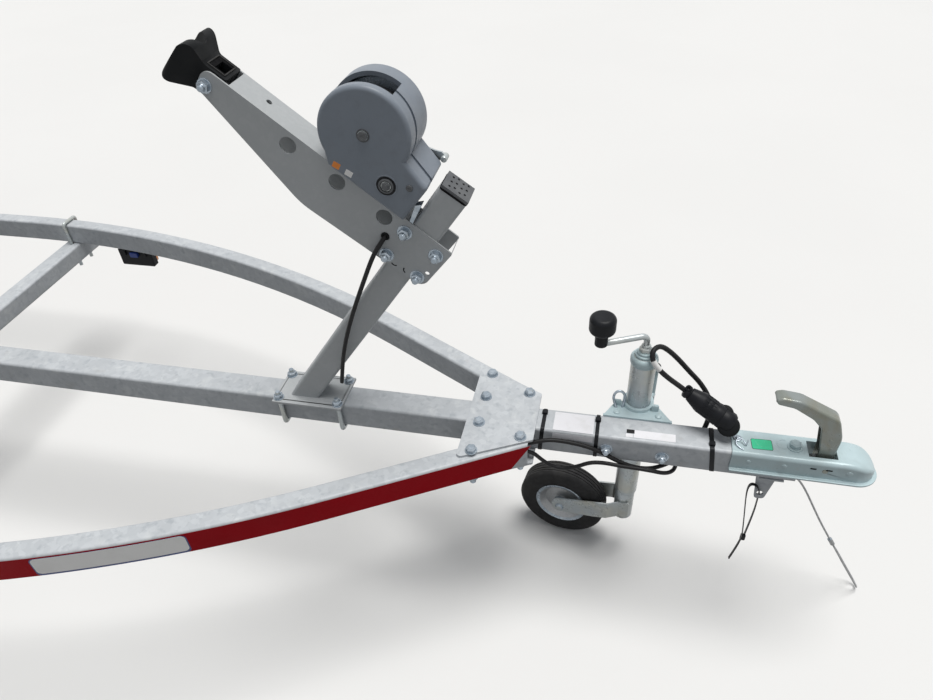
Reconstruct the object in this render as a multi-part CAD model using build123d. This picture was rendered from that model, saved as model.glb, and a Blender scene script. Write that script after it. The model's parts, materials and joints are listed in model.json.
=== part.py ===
from build123d import *
from math import asin, cos, pi, radians, sin, sqrt, tan
import os

# Boat trailer, millimetres. +X points forward to the coupling, +Y to the left, +Z up, floor at z = 0.
# While it is modelled, x is counted from the front edge of the coupling plates. On export every piece
# moves forward so that x = 0 is the middle of the trailer's length.

# Driving dimensions: overall
nose_x = 628.0
rear_x = -4672.0
frame_top = 447.0
seat_gap = 0.3
running_gap = 0.05

# Centre tube and drawbar, one square tube
tube_size = 60.0
tube_wall = 3.0
tube_front_x = 488.0
tube_rear_x = -4370.0

# Side rails: splayed from the plates, bent once, then parallel
rail_width = 40.0
rail_height = 60.0
rail_wall = 3.0
rail_outer_y = 615.0
rail_nose_y = 71.0
rail_splay = 29.5
rail_bend_radius = 2650.0
rail_rear_x = -4400.0

# Coupling plates
plate_thickness = 5.0
plate_length = 137.0
plate_front_y = 65.0
plate_rear_y = 134.0
plate_corner = 8.0

# Cross members under rails and centre tube, and the U-bolts that hold them
cross_size = 50.0
cross_wall = 3.0
cross_half_length = 640.0
cross_xs = (-1505.0, -2400.0, -3300.0, -4230.0)
u_bolt_radius = 5.0
u_bolt_gap = 0.8
u_bolt_bend = 6.5
u_bolt_tail = 25.0
u_bolt_hole_gap = 0.6

# Winch post and its base plate
post_size = 50.0
post_wall = 3.0
post_lean = 36.0
post_foot_x = -485.5
post_length = 595.0
base_plate_x = -473.0
base_plate_length = 152.0
base_plate_width = 98.0
base_plate_thickness = 6.0
post_u_bolt_pitch = 130.0
post_u_bolt_tail = 16.0
cap_thickness = 5.0

# Winch arm: folded channel. u runs down along its top face, v stands square to it
arm_x = -473.0
arm_z = 1097.0
arm_pitch = 39.0
arm_plate = 3.0
arm_tail_u = -42.0
arm_front_u = 424.0
arm_deep_u = 180.0
arm_tail_depth = 36.0
arm_deep_depth = 99.0
arm_front_depth = 92.0
arm_top_end_u = 334.0
arm_hole_radius = 14.0
arm_hole_us = (116.0, 208.0, 300.0)
arm_hole_v = -22.0
arm_top_hole_u = 56.0
arm_top_hole_radius = 5.0
arm_top_hole_y = 5.0
arm_small_hole_radius = 4.0
grommet_u = 320.0
grommet_v = -51.0
grommet_radius = 8.0
grommet_lip = 1.5

# Bow stop, a rubber V in the tail of the arm
bow_front_u = -6.0
bow_root_u = -44.0
bow_tip_u = -88.0
bow_top_v = 3.0
bow_bottom_v = -42.0
bow_tip_top_v = 33.0
bow_tip_bottom_v = -55.0
bow_tip_rake = 8.0
bow_tip_half_width = 46.0
bow_tip_inner = 28.0
bow_pocket_depth = 15.0

# Winch
winch_u = 202.0
winch_v = 87.0
winch_radius = 73.0
winch_half_width = 50.0
winch_wall = 3.0
winch_rim = 7.0
winch_groove = 2.5
winch_groove_span = (14.0, 22.0)
winch_foot = 7.0
winch_foot_half_width = 26.0
winch_window = (-13.0, 34.0)
winch_box_u = (183.0, 325.0)
winch_box_top = 80.0
drum_flange_radius = 61.0
drum_flange_thickness = 2.0
drum_half_width = 38.0
strap_roll_radius = 50.0
drum_shaft_radius = 8.0
crank_shaft_u = 272.0
crank_shaft_v = 42.0
crank_shaft_radius = 8.0
crank_arm_length = 185.0
crank_arm_width = 24.0
crank_arm_thickness = 6.0
crank_arm_gap = 12.0
grip_radius = 14.0
grip_length = 90.0

# Coupling
coupling_rear_x = 366.0
coupling_top = 450.5
coupling_side = 3.5
coupling_floor = 407.0
flange_thickness = 4.0
flange_reach = 7.0
ball_x = 578.0
ball_z = 422.0
ball_bore_radius = 25.1
nose_drop = 27.0
nose_drop_start = 560.0
coupling_edge = 9.0
slot_x = (500.0, 549.5)
slot_half_width = 19.5
lever_half_width = 14.0
lever_web = 5.0
lever_edge = 4.0
lever_pin_x = 530.0
lever_pin_z = 430.0
lever_pin_radius = 5.0

# Safety bracket: a steel tongue under the drawbar, with a cable tie through it
bracket_x = (425.0, 470.0)
bracket_thickness = 4.0
bracket_bottom = 297.0
bracket_hole_radius = 6.0
tie_radius = 2.2

# Jockey wheel on the left of the drawbar
jockey_x = 192.0
jockey_y = 72.0
jockey_tube_radius = 24.0
jockey_tube_wall = 2.5
jockey_tube_bottom = 190.0
jockey_tube_top = 560.0
jockey_cap_top = 584.0
jockey_swivel = -9.7
jockey_trail = 140.0
jockey_wheel_radius = 100.0
jockey_wheel_half_width = 24.0
jockey_rim_radius = 58.0
jockey_axle_radius = 6.0
fork_plate = 4.0
fork_side_gap = 6.0
fork_top = 186.0
fork_bottom = 104.0
fork_flare = 24.0
clamp_plate = 5.0
clamp_x = (126.0, 258.0)
clamp_collar = 6.0
clamp_collar_top = 458.0
jockey_rod_radius = 6.0
jockey_rod_top = 622.0
jockey_crank_reach = (-83.0, -35.0)
jockey_rod_drop = 2.0
knob_radius = 24.5
knob_stem_radius = 12.0
knob_stem_height = 27.0
knob_height = 66.0
knob_drop = 4.0

# Axle with rubber suspension, wheels 155/70 R13
axle_x = -2763.0
axle_size = 60.0
axle_wall = 4.0
axle_half_length = 612.0
pad_thickness = 8.0
pad_length = 130.0
wheel_radius = 273.5
wheel_y = 728.0
tyre_half_width = 78.0
tread_thickness = 11.5
shoulder_drop = 17.5
inner_shoulder_drop = 23.5
widest_drop = 51.5
rim_bead_radius = 168.0
bead_gap = 0.3
bead_height = 10.6
rim_sheet = 3.5
disc_w = 30.0
swing_length = 150.0
swing_thickness = 22.0
swing_inner_y = 616.0
torsion_bar_length = 80.0
spindle_radius = 15.0
hub_radius = 34.0
hub_flange_radius = 62.0
hub_cap_radius = 27.0
hub_back = 650.0
stud_circle = 100.0
stud_hole_radius = 7.0

# Mudguards
guard_radius = 328.0
guard_thickness = 3.0
guard_inner_y = 640.0
guard_outer_y = 840.0
guard_lip = 28.0
guard_end_z = 358.0
guard_bracket_offset = 230.0
guard_bracket_width = 40.0

# Keel rollers along the centre tube
roller_xs = (-1700.0, -2560.0, -3450.0, -4310.0)
roller_end_radius = 42.0
roller_waist_radius = 28.0
roller_half_width = 60.0
roller_pin_radius = 10.0
roller_axis_height = 66.0
roller_bracket_length = 70.0
roller_cheek = 5.0
roller_side_gap = 6.0

# Bunks beside the keel
bunk_y = 430.0
bunk_width = 100.0
bunk_thickness = 40.0
bunk_length = 1500.0
bunk_tilt = 12.0
bunk_top_z = 640.0
bunk_mid_x = -2850.0
bunk_post_size = 40.0
bunk_post_wall = 3.0
bunk_post_bottom = 290.0
bunk_cross = (1, 2)
saddle_thickness = 5.0

# Rear lights
board_thickness = 22.0
board_inset = 5.0
board_z = (400.0, 500.0)
lamp_depth = 30.0
lamp_width = 140.0
arm_tube_size = 30.0
arm_tube_wall = 2.5
arm_tube_front_x = -4150.0
number_plate = (520.0, 110.0)
number_plate_thickness = 2.0

# Side marker lamps under the rails
marker_xs = (-1290.0, -3650.0)
marker_length = 110.0
marker_height = 55.0
marker_depth = 20.0
marker_lens_depth = 14.0

# Free and held cords: their routes, in the modelling frame
wiring_diameter = 8.5
wiring_route = [
    (-22, -52, 421), (2, -45, 426), (30, -37.5, 429), (64, -36, 427), (98, -36, 422), (128, -36, 411),
    (158, -36.5, 393), (192, -36, 379), (226, -30, 373), (256, -14, 374), (281, 9, 374), (302, 31.5, 378),
    (316, 41, 397), (321, 42, 424),
]
slack_diameter = 8.0
slack_route = [
    (-22, -58, 411), (-2, -53, 404), (13, -50, 385), (30, -47, 367), (56, -46, 359), (84, -46, 369),
    (110, -46, 388), (138, -46, 392), (168, -45.5, 388), (200, -46, 388), (230, -45, 385), (250, -41, 378),
    (265, -31, 372), (274, -18, 371), (274, -18, 387),
]
plug_lead_diameter = 10.0
plug_lead_route = [
    (321, 42, 424), (325, 42.8, 445.6), (330, 62, 463), (323, 82, 481), (304, 92, 504), (280, 91, 530),
    (258, 87, 558), (236, 82, 583), (217, 73, 601), (203, 56, 601), (205, 45, 585), (221, 44, 564),
    (241, 49, 542), (259.6, 49.4, 528), (271.5, 45.2, 522),
]
safety_wire_diameter = 4.0
safety_wire_route = [
    (478, 0, 384.8), (490, 0, 376), (508, 1, 360), (527, 3, 330), (550, 6, 287), (582, 12, 227),
    (611.4, 17.35, 177.3),
]
eye_tip = (714, 36, 4)
hanging_cord_diameter = 8.0

# Plug on the free lead
plug_tail = (271.5, 45.2, 522.0)
plug_nose = (366.0, 12.0, 474.5)
plug_radius = 24.5
plug_barrel_radius = 20.5
plug_tail_radius = 13.5

overall_length = nose_x - rear_x
shift_x = overall_length / 2 - nose_x
tube_half = tube_size / 2
frame_bottom = frame_top - tube_size
rail_bottom = frame_top - rail_height
splay = radians(rail_splay)
rail_tangent = rail_bend_radius * tan(splay / 2)
rail_corner_x = -(rail_outer_y - rail_nose_y) / tan(splay)
rail_bend_end_x = rail_corner_x - rail_tangent
rail_front_x = (rail_nose_y - rail_width / cos(splay) - tube_half - seat_gap) / tan(splay)
sides = (("left", 1), ("right", -1))
pieces = {}


def keep(name, *solids):
    """File the solids of one node under its name."""
    pieces.setdefault(name, []).extend(solids)


def block(x, y, z):
    """A box from three pairs of low and high coordinates."""
    sizes = [high - low for low, high in (x, y, z)]
    middle = [(high + low) / 2 for low, high in (x, y, z)]
    return Pos(*middle) * Box(*sizes)


def tube_section(width, height, wall):
    """A cold-formed tube's section, its corners rounded to twice the wall."""
    bore = RectangleRounded(width - 2 * wall, height - 2 * wall, wall)
    return RectangleRounded(width, height, 2 * wall) - bore


def square_tube(x, y, z, wall, axis):
    """A rectangular tube, open at both ends of its axis (0, 1 or 2)."""
    sizes = [high - low for low, high in (x, y, z)]
    middle = [(high + low) / 2 for low, high in (x, y, z)]
    if axis == 0:
        section = Plane.YZ * tube_section(sizes[1], sizes[2], wall)
    elif axis == 1:
        section = Plane.ZX * tube_section(sizes[2], sizes[0], wall)
    else:
        section = tube_section(sizes[0], sizes[1], wall)
    return Pos(*middle) * extrude(section, amount=sizes[axis] / 2, both=True)


def rod(start, end, radius):
    """A round bar from one point to another."""
    start, end = Vector(*start), Vector(*end)
    along = end - start
    placed = Plane(origin=start, z_dir=along)
    return placed.location * Cylinder(radius, along.length, align=(Align.CENTER, Align.CENTER, Align.MIN))


def rounded(corners):
    """A flat face from corners given as (x, y, fillet radius)."""
    points = [(x, y) for x, y, radius in corners]
    face = make_face(FilletPolyline(*points, radius=[radius for x, y, radius in corners], close=True))
    return face if face.face().normal_at().Z > 0 else -face.face()


def mirrored(solid):
    return mirror(solid, about=Plane.XZ)


def on_side(solid, side):
    return solid if side > 0 else mirrored(solid)


def side_plate(corners, y):
    """A plate drawn in x and z, standing between two y values."""
    low, high = y
    return Pos(0, high, 0) * extrude(Plane.XZ * rounded(corners), amount=high - low)


# Side rails

def rail_path():
    """The middle line of the left rail, from a little past its front end to its rear end."""
    inset = rail_width / 2
    radius = rail_bend_radius - inset
    bend_centre = Vector(rail_bend_end_x, rail_outer_y - rail_bend_radius)
    front_x = rail_front_x + rail_width
    front = Vector(front_x, rail_nose_y - front_x * tan(splay) - inset / cos(splay))
    start = bend_centre + Vector(sin(splay), cos(splay)) * radius
    middle = bend_centre + Vector(sin(splay / 2), cos(splay / 2)) * radius
    end = bend_centre + Vector(0, radius)
    rear = Vector(rail_rear_x, rail_outer_y - inset)
    level = Vector(0, 0, frame_top - rail_height / 2)
    return Wire([
        Line(front + level, start + level),
        ThreePointArc(start + level, middle + level, end + level),
        Line(end + level, rear + level),
    ])


def rail_outer_at(x):
    """The y of the left rail's outer face at a place x behind the start of its bend."""
    if x <= rail_bend_end_x:
        return rail_outer_y
    return rail_outer_y - rail_bend_radius + sqrt(rail_bend_radius ** 2 - (x - rail_bend_end_x) ** 2)


rail_line = rail_path()
left_rail = sweep(
    Plane(origin=rail_line @ 0, x_dir=(0, 0, 1), z_dir=rail_line % 0)
    * tube_section(rail_height, rail_width, rail_wall),
    rail_line,
)
trim_span = (rail_front_x, rail_front_x + 3 * rail_width)
left_rail -= block(trim_span, (0, rail_outer_y), (rail_bottom, frame_top))
for side_name, side in sides:
    keep("side_rails", on_side(left_rail, side))

# Centre tube with the drawbar

keep("centre_tube", square_tube(
    (tube_rear_x, tube_front_x), (-tube_half, tube_half), (frame_bottom, frame_top), tube_wall, 0,
))

# Coupling plates above and below rails and tube

plate_corners = [
    (0, plate_front_y, plate_corner / 2), (0, -plate_front_y, plate_corner / 2),
    (-plate_length, -plate_rear_y, plate_corner), (-plate_length, plate_rear_y, plate_corner),
]
for plate_z in (frame_top, frame_bottom - plate_thickness):
    keep("front_plates", Pos(0, 0, plate_z) * extrude(rounded(plate_corners), amount=plate_thickness))

# Cross members and their U-bolts


def u_bolt(x, y_low, y_high, z_low, z_high, gap):
    """A square U-bolt over a tube, its two legs down to z_low."""
    reach = u_bolt_radius + gap
    route = [
        (x, y_low - reach, z_low), (x, y_low - reach, z_high + reach),
        (x, y_high + reach, z_high + reach), (x, y_high + reach, z_low),
    ]
    path = FilletPolyline(*route, radius=u_bolt_bend)
    return sweep(Plane(origin=path @ 0, z_dir=path % 0) * Circle(u_bolt_radius), path)


leg_reach = u_bolt_radius + u_bolt_gap
for cross_x in cross_xs:
    outer_y = rail_outer_at(cross_x)
    cross_member = square_tube(
        (cross_x - cross_size / 2, cross_x + cross_size / 2), (-cross_half_length, cross_half_length),
        (frame_bottom - cross_size, frame_bottom), cross_wall, 1,
    )
    spans = [(-tube_half, tube_half), (outer_y - rail_width, outer_y), (-outer_y, rail_width - outer_y)]
    for y_low, y_high in spans:
        for leg_y in (y_low - leg_reach, y_high + leg_reach):
            cross_member -= rod(
                (cross_x, leg_y, frame_bottom - cross_size - 1), (cross_x, leg_y, frame_bottom + 1),
                u_bolt_radius + u_bolt_hole_gap,
            )
        keep("u_bolts", u_bolt(
            cross_x, y_low, y_high, frame_bottom - cross_size - u_bolt_tail, frame_top, u_bolt_gap,
        ))
    keep("cross_members", cross_member)

# Winch post, base plate, U-bolts and cap

plate_top = frame_top + base_plate_thickness
post_frame = Plane(
    origin=(post_foot_x, 0, plate_top),
    x_dir=(cos(radians(post_lean)), 0, -sin(radians(post_lean))),
    z_dir=(sin(radians(post_lean)), 0, cos(radians(post_lean))),
)
post_half = post_size / 2
post = square_tube(
    (-post_half, post_half), (-post_half, post_half), (-post_size, post_length), post_wall, 2,
)
post = post_frame.location * post
post -= block((post_foot_x - 200, post_foot_x + 200), (-100, 100), (plate_top - 200, plate_top))
keep("winch_post", post)
cap = block((-post_half, post_half), (-post_half, post_half), (post_length, post_length + cap_thickness))
plug_half = post_half - post_wall - seat_gap
cap += Pos(0, 0, post_length - 12) * extrude(
    RectangleRounded(2 * plug_half, 2 * plug_half, post_wall), amount=12,
)
keep("post_cap", post_frame.location * cap)

base_plate = block(
    (base_plate_x - base_plate_length / 2, base_plate_x + base_plate_length / 2),
    (-base_plate_width / 2, base_plate_width / 2), (frame_top, plate_top),
)
for bolt_x in (base_plate_x - post_u_bolt_pitch / 2, base_plate_x + post_u_bolt_pitch / 2):
    for leg_y in (-tube_half - leg_reach, tube_half + leg_reach):
        base_plate -= rod(
            (bolt_x, leg_y, frame_top - 1), (bolt_x, leg_y, plate_top + 1),
            u_bolt_radius + u_bolt_hole_gap,
        )
    hanger = u_bolt(bolt_x, -tube_half, tube_half, -plate_top - post_u_bolt_tail, -frame_bottom, u_bolt_gap)
    keep("u_bolts", mirror(hanger, about=Plane.XY))
keep("base_plate", base_plate)

# Winch arm. Its own frame has x = u along the top face, y = v square to it, z to the right side

arm_frame = Plane(
    origin=(arm_x, 0, arm_z),
    x_dir=(cos(radians(arm_pitch)), 0, -sin(radians(arm_pitch))),
    z_dir=(0, -1, 0),
)
arm_inner = post_half + seat_gap
arm_outer = arm_inner + arm_plate


def arm_plate_between(face, low, high):
    """Extrude a face drawn in u and v between two distances to the right of the middle."""
    return Pos(0, 0, low) * extrude(face, amount=high - low)


arm_side = rounded([
    (arm_tail_u, 0, 15), (arm_front_u, 0, 4), (arm_front_u, -arm_front_depth, 18),
    (arm_deep_u, -arm_deep_depth, 120), (arm_tail_u, -arm_tail_depth, 6),
])
arm = arm_plate_between(arm_side, -arm_outer, arm_outer)
arm -= arm_plate_between(Pos(0, -arm_plate) * arm_side + Pos(arm_tail_u - 10, -20) * Rectangle(60, 80),
                         -arm_inner, arm_inner)
arm -= block((arm_tail_u - 1, 0), (-arm_plate - 1, 1), (-arm_inner, arm_inner))
arm -= block((arm_top_end_u, arm_front_u + 1), (-arm_plate - 1, 1), (-arm_inner, arm_inner))
for hole_u in arm_hole_us:
    arm -= Pos(hole_u, arm_hole_v) * Cylinder(arm_hole_radius, 4 * arm_outer)
arm -= Pos(arm_front_u - 10, -62) * Cylinder(arm_small_hole_radius, 4 * arm_outer)
arm -= Pos(arm_top_hole_u, 0, -arm_top_hole_y) * Rot(90, 0, 0) * Cylinder(arm_top_hole_radius, 4 * arm_plate)
arm -= Pos(grommet_u, grommet_v, arm_outer) * Cylinder(grommet_radius, 4 * arm_plate)
keep("winch_arm", arm_frame.location * arm)

# Bow stop

bow_half = arm_inner - seat_gap
bow_plan = rounded([
    (bow_front_u, -bow_half, 3), (bow_root_u, -bow_half, 20), (bow_tip_u, -bow_tip_half_width, 5),
    (bow_tip_u - 2, -bow_tip_inner, 5), (bow_root_u - 10, 0, 12), (bow_tip_u - 2, bow_tip_inner, 5),
    (bow_tip_u, bow_tip_half_width, 5), (bow_root_u, bow_half, 20), (bow_front_u, bow_half, 3),
])
bow_profile = rounded([
    (bow_front_u + 4, bow_bottom_v, 26), (bow_root_u, bow_bottom_v, 14),
    (bow_tip_u - 2, bow_tip_bottom_v, 12), (bow_tip_u + bow_tip_rake, bow_tip_top_v, 13),
    (bow_root_u, bow_top_v, 14), (bow_front_u + 4, bow_top_v, 0),
])
bow_height = bow_tip_top_v - bow_tip_bottom_v
bow_stop = Pos(0, bow_tip_top_v) * extrude(Plane.XZ * bow_plan, amount=bow_height)
bow_stop &= arm_plate_between(bow_profile, -2 * bow_tip_half_width, 2 * bow_tip_half_width)
bow_stop -= block((-32, -14), (bow_top_v - bow_pocket_depth, bow_top_v + 1), (-12, 12))
keep("bow_stop", arm_frame.location * bow_stop)

# Winch housing, open at the top rear where the strap leaves the drum


def winch_outline(shrink):
    """The housing's side view, drawn in u and v and shrunk by an even margin."""
    low_u, high_u = winch_box_u
    foot = winch_foot + shrink
    body = rounded([
        (low_u + shrink, foot, 0), (high_u - shrink, foot, 0), (high_u - shrink, winch_box_top - shrink, 6),
        (winch_u + winch_radius * 0.9, winch_v + winch_radius * 0.12 - shrink, 0), (winch_u, winch_v, 0),
        (winch_u - winch_radius * 0.8 + shrink, winch_v - winch_radius * 0.55, 0),
    ])
    return body + Pos(winch_u, winch_v) * Circle(winch_radius - shrink)


housing = arm_plate_between(winch_outline(0), -winch_half_width, winch_half_width)
rim_edges = [edge for edge in housing.edges() if abs(abs(edge.center().Z) - winch_half_width) < 0.01]
housing = fillet(rim_edges, winch_rim)
groove = winch_outline(-1) - winch_outline(winch_groove)
housing -= arm_plate_between(groove, *winch_groove_span)
inner_half = winch_half_width - winch_wall
housing -= arm_plate_between(winch_outline(winch_rim), -inner_half, inner_half)
housing += Pos((winch_box_u[0] + winch_box_u[1]) / 2, (winch_foot + seat_gap) / 2 + 1) * Box(
    winch_box_u[1] - winch_box_u[0] - 16, winch_foot - seat_gap + 2, 2 * winch_foot_half_width,
)
window = make_face(Polyline(
    (winch_u, winch_v), (winch_u + 4, winch_v + 2 * winch_radius),
    (winch_u - 2 * winch_radius, winch_v + 50),
    (winch_u - 2 * winch_radius, winch_v + 10), close=True,
))
housing -= arm_plate_between(window, *winch_window)
for shaft_u, shaft_v, shaft_radius in (
    (winch_u, winch_v, drum_shaft_radius), (crank_shaft_u, crank_shaft_v, crank_shaft_radius),
):
    housing -= Pos(shaft_u, shaft_v) * Cylinder(shaft_radius + running_gap, 4 * winch_half_width)
keep("winch_housing", arm_frame.location * housing)

# Drum with the strap wound on it

drum = Pos(winch_u, winch_v) * Cylinder(drum_shaft_radius, 2 * winch_half_width + 4)
for low in (-drum_half_width - drum_flange_thickness, drum_half_width):
    drum += arm_plate_between(
        Pos(winch_u, winch_v) * Circle(drum_flange_radius), low, low + drum_flange_thickness,
    )
keep("winch_drum", arm_frame.location * drum)
strap = Cylinder(strap_roll_radius, 2 * drum_half_width) - Cylinder(drum_shaft_radius, 4 * drum_half_width)
keep("winch_strap", arm_frame.location * Pos(winch_u, winch_v) * strap)

# Winch crank on the left side, hanging square to the arm

crank_inner = -winch_half_width - crank_arm_gap
crank_outer = crank_inner - crank_arm_thickness
crank_tip_v = crank_shaft_v - crank_arm_length
crank = arm_plate_between(
    Pos(crank_shaft_u, crank_shaft_v) * Circle(crank_shaft_radius), crank_outer, winch_half_width + 2,
)
crank += arm_plate_between(
    Pos(crank_shaft_u, (crank_shaft_v + crank_tip_v) / 2)
    * SlotCenterToCenter(crank_arm_length, crank_arm_width, rotation=90),
    crank_outer, crank_inner,
)
keep("winch_crank", arm_frame.location * crank)
grip = arm_plate_between(
    Pos(crank_shaft_u, crank_tip_v) * Circle(grip_radius), crank_outer - grip_length, crank_outer,
)
keep("winch_grip", arm_frame.location * fillet(grip.edges(), grip_radius / 4))

# Coupling body: a channel over the drawbar, a flange round its foot and a dome over the ball

body_half = tube_half + seat_gap + coupling_side
flange_half = body_half + flange_reach
shell_nose_x = nose_x - flange_reach
shell_plan = rounded([
    (coupling_rear_x, -body_half, 0), (shell_nose_x, -body_half, body_half - 0.01),
    (shell_nose_x, body_half, body_half - 0.01), (coupling_rear_x, body_half, 0),
])
shell_side = Pos(0, flange_half, 0) * extrude(Plane.XZ * make_face(Wire([
    Line((coupling_rear_x, coupling_floor), (shell_nose_x, coupling_floor)),
    Line((shell_nose_x, coupling_floor), (shell_nose_x, coupling_top - nose_drop)),
    Spline(
        (shell_nose_x, coupling_top - nose_drop), (nose_drop_start, coupling_top),
        tangents=((-0.6, 1), (-1, 0)),
    ),
    Line((nose_drop_start, coupling_top), (coupling_rear_x, coupling_top)),
    Line((coupling_rear_x, coupling_top), (coupling_rear_x, coupling_floor)),
])), amount=2 * flange_half)
coupling = Pos(0, 0, coupling_floor) * extrude(shell_plan, amount=coupling_top - coupling_floor)
coupling &= shell_side
edges = [
    edge for edge in coupling.edges()
    if edge.center().Z > coupling_top - nose_drop - 1 and edge.center().X > coupling_rear_x + 5
    and edge.length > 20
]
coupling = fillet(edges, coupling_edge)
flange_plan = rounded([
    (coupling_rear_x, -flange_half, 0), (nose_x, -flange_half, flange_half - 0.01),
    (nose_x, flange_half, flange_half - 0.01), (coupling_rear_x, flange_half, 0),
])
coupling += Pos(0, 0, coupling_floor) * extrude(flange_plan, amount=flange_thickness)
coupling -= block((coupling_rear_x - 1, tube_front_x + 12), (-tube_half - seat_gap, tube_half + seat_gap),
                  (coupling_floor - 50, frame_top))
coupling -= block((tube_front_x + 11, slot_x[1]), (-slot_half_width, slot_half_width),
                  (coupling_floor - 50, coupling_top - coupling_side))
coupling -= block(slot_x, (-slot_half_width, slot_half_width), (coupling_floor, coupling_top + 50))
coupling -= Pos(ball_x, 0, (ball_z + coupling_floor) / 2 - 1) * Cylinder(
    ball_bore_radius, ball_z - coupling_floor + 2,
)
coupling -= Pos(ball_x, 0, ball_z) * Sphere(ball_bore_radius)
coupling -= rod((lever_pin_x, -100, lever_pin_z), (lever_pin_x, 100, lever_pin_z),
                lever_pin_radius + running_gap)
coupling -= block((coupling_rear_x, nose_x), (-100, 100), (coupling_floor - 100, coupling_floor))
keep("coupling_body", coupling)

# Coupling lever, raised as on an unhitched trailer

lever_corners = [
    (515, 422, 4), (543, 422, 8), (546, 495, 60), (532, 538, 22), (462, 573, 30), (430, 577, 16),
    (415, 572, 5), (424, 561, 6), (452, 556, 30), (488, 534, 30), (506, 514, 14), (514, 462, 20),
]
lever = side_plate(lever_corners, (-lever_half_width, lever_half_width))
side_edges = [edge for edge in lever.edges() if abs(abs(edge.center().Y) - lever_half_width) < 0.01]
lever = fillet(side_edges, lever_edge)
hollow = Pos(-lever_web, 0, -lever_web) * side_plate(
    lever_corners, (lever_web - lever_half_width - 1, lever_half_width - lever_web + 1),
)
lever -= hollow
lever += rod((lever_pin_x, -body_half, lever_pin_z), (lever_pin_x, body_half, lever_pin_z), lever_pin_radius)
keep("coupling_lever", lever)

# Safety bracket under the drawbar, with a cable tie looped through it

bracket_mid_x = 444.0
bracket = side_plate(
    [(bracket_x[0], frame_bottom, 0), (bracket_x[1], frame_bottom, 0),
     (bracket_mid_x + 10, bracket_bottom, 8), (bracket_mid_x - 8, bracket_bottom, 6)],
    (-bracket_thickness / 2, bracket_thickness / 2),
)
bracket_hole_z = bracket_bottom + 16
bracket -= rod(
    (bracket_mid_x, -10, bracket_hole_z), (bracket_mid_x, 10, bracket_hole_z), bracket_hole_radius,
)
bracket += block((bracket_x[0], bracket_x[1]), (-tube_half, tube_half), (frame_bottom - 4, frame_bottom))
keep("safety_bracket", bracket)

tie_route = [
    (422, -15, 106), (437, -9, 166), (432, -10, 210), (425, -10, 262), (417, -9, 322), (420, -8, 345),
    (434, -8, 341), (443, -6, 318), (445, 6, 308), (447, 8, 282), (447, 4, 240), (441, -3, 178),
]


def cord_path(name, route):
    """Straight runs joined by tangent arcs, each arc as large as its two runs allow."""
    points = [Vector(*point) for point in route]
    radii = []
    for before, corner, after in zip(points, points[1:], points[2:]):
        first, second = corner - before, after - corner
        turn = first.get_angle(second)
        radii.append(0.45 * min(first.length, second.length) / tan(radians(turn / 2)))
    print(name, "arc radii", [round(radius) for radius in radii])
    return FilletPolyline(*route, radius=radii)


def cord(name, route, diameter):
    """A round cord along its route, compared with its section times its length."""
    path = cord_path(name, route)
    solid = sweep(Plane(origin=path @ 0, z_dir=path % 0) * Circle(diameter / 2), path)
    expected = pi * diameter ** 2 / 4 * path.length
    print(name, "length", round(path.length), "volume ratio", round(solid.volume / expected, 4))
    return solid


tie_path = cord_path("cable_tie", tie_route)
cable_tie = sweep(Plane(origin=tie_path @ 0, z_dir=tie_path % 0) * Circle(tie_radius), tie_path)
keep("cable_tie", cable_tie + block((433, 444), (-13, 1), (166, 182)))

# Jockey wheel: clamp, outer tube, crank, inner leg, fork and wheel

clamp_half = jockey_tube_radius + seat_gap + clamp_collar
clamp = block(clamp_x, (tube_half, tube_half + clamp_plate), (frame_bottom + 3, frame_top))
shelf = Pos(0, 0, frame_top) * extrude(make_face(Polyline(
    (clamp_x[0], tube_half - 4), (clamp_x[1], tube_half - 4), (jockey_x + 40, jockey_y - 8),
    (jockey_x + 40, jockey_y), (jockey_x - 46, jockey_y), (jockey_x - 46, jockey_y - 8), close=True,
)), amount=4)
clamp += shelf
clamp += Pos(jockey_x, jockey_y, (frame_bottom + clamp_collar_top) / 2) * Cylinder(
    clamp_half, clamp_collar_top - frame_bottom,
)
clamp += block((jockey_x - 20, jockey_x + 20), (tube_half, jockey_y), (frame_bottom + 3, frame_top))
clamp += rod((jockey_x + 12, jockey_y + 22, 425), (jockey_x + 31, jockey_y + 60, 425), 6)
clamp += rod((jockey_x + 31, jockey_y + 60, 380), (jockey_x + 31, jockey_y + 60, 492), 4.5)
clamp -= Pos(jockey_x, jockey_y, frame_top) * Cylinder(jockey_tube_radius + seat_gap, 4 * rail_height)
keep("jockey_clamp", clamp)
keep("jockey_clamp_knob", Pos(jockey_x + 31, jockey_y + 60, 499) * Sphere(8) - clamp)

tube_mid = (jockey_tube_bottom + jockey_tube_top) / 2
tube_length = jockey_tube_top - jockey_tube_bottom
jockey_tube = Pos(0, 0, tube_mid) * Cylinder(jockey_tube_radius, tube_length)
jockey_tube += Pos(0, 0, jockey_tube_top) * Cylinder(
    jockey_tube_radius + 2, 8, align=(Align.CENTER, Align.CENTER, Align.MIN),
)
jockey_tube += Pos(0, 0, jockey_tube_top + 8) * Cone(
    jockey_tube_radius + 2, 12, jockey_cap_top - jockey_tube_top - 8,
    align=(Align.CENTER, Align.CENTER, Align.MIN),
)
jockey_tube -= Pos(0, 0, jockey_tube_bottom - 1) * Cylinder(
    jockey_tube_radius - jockey_tube_wall, jockey_tube_top - jockey_tube_bottom - 30,
    align=(Align.CENTER, Align.CENTER, Align.MIN),
)
jockey_tube -= Pos(0, 0, jockey_cap_top) * Cylinder(jockey_rod_radius + running_gap, 70)
keep("jockey_tube", Pos(jockey_x, jockey_y) * jockey_tube)

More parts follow.
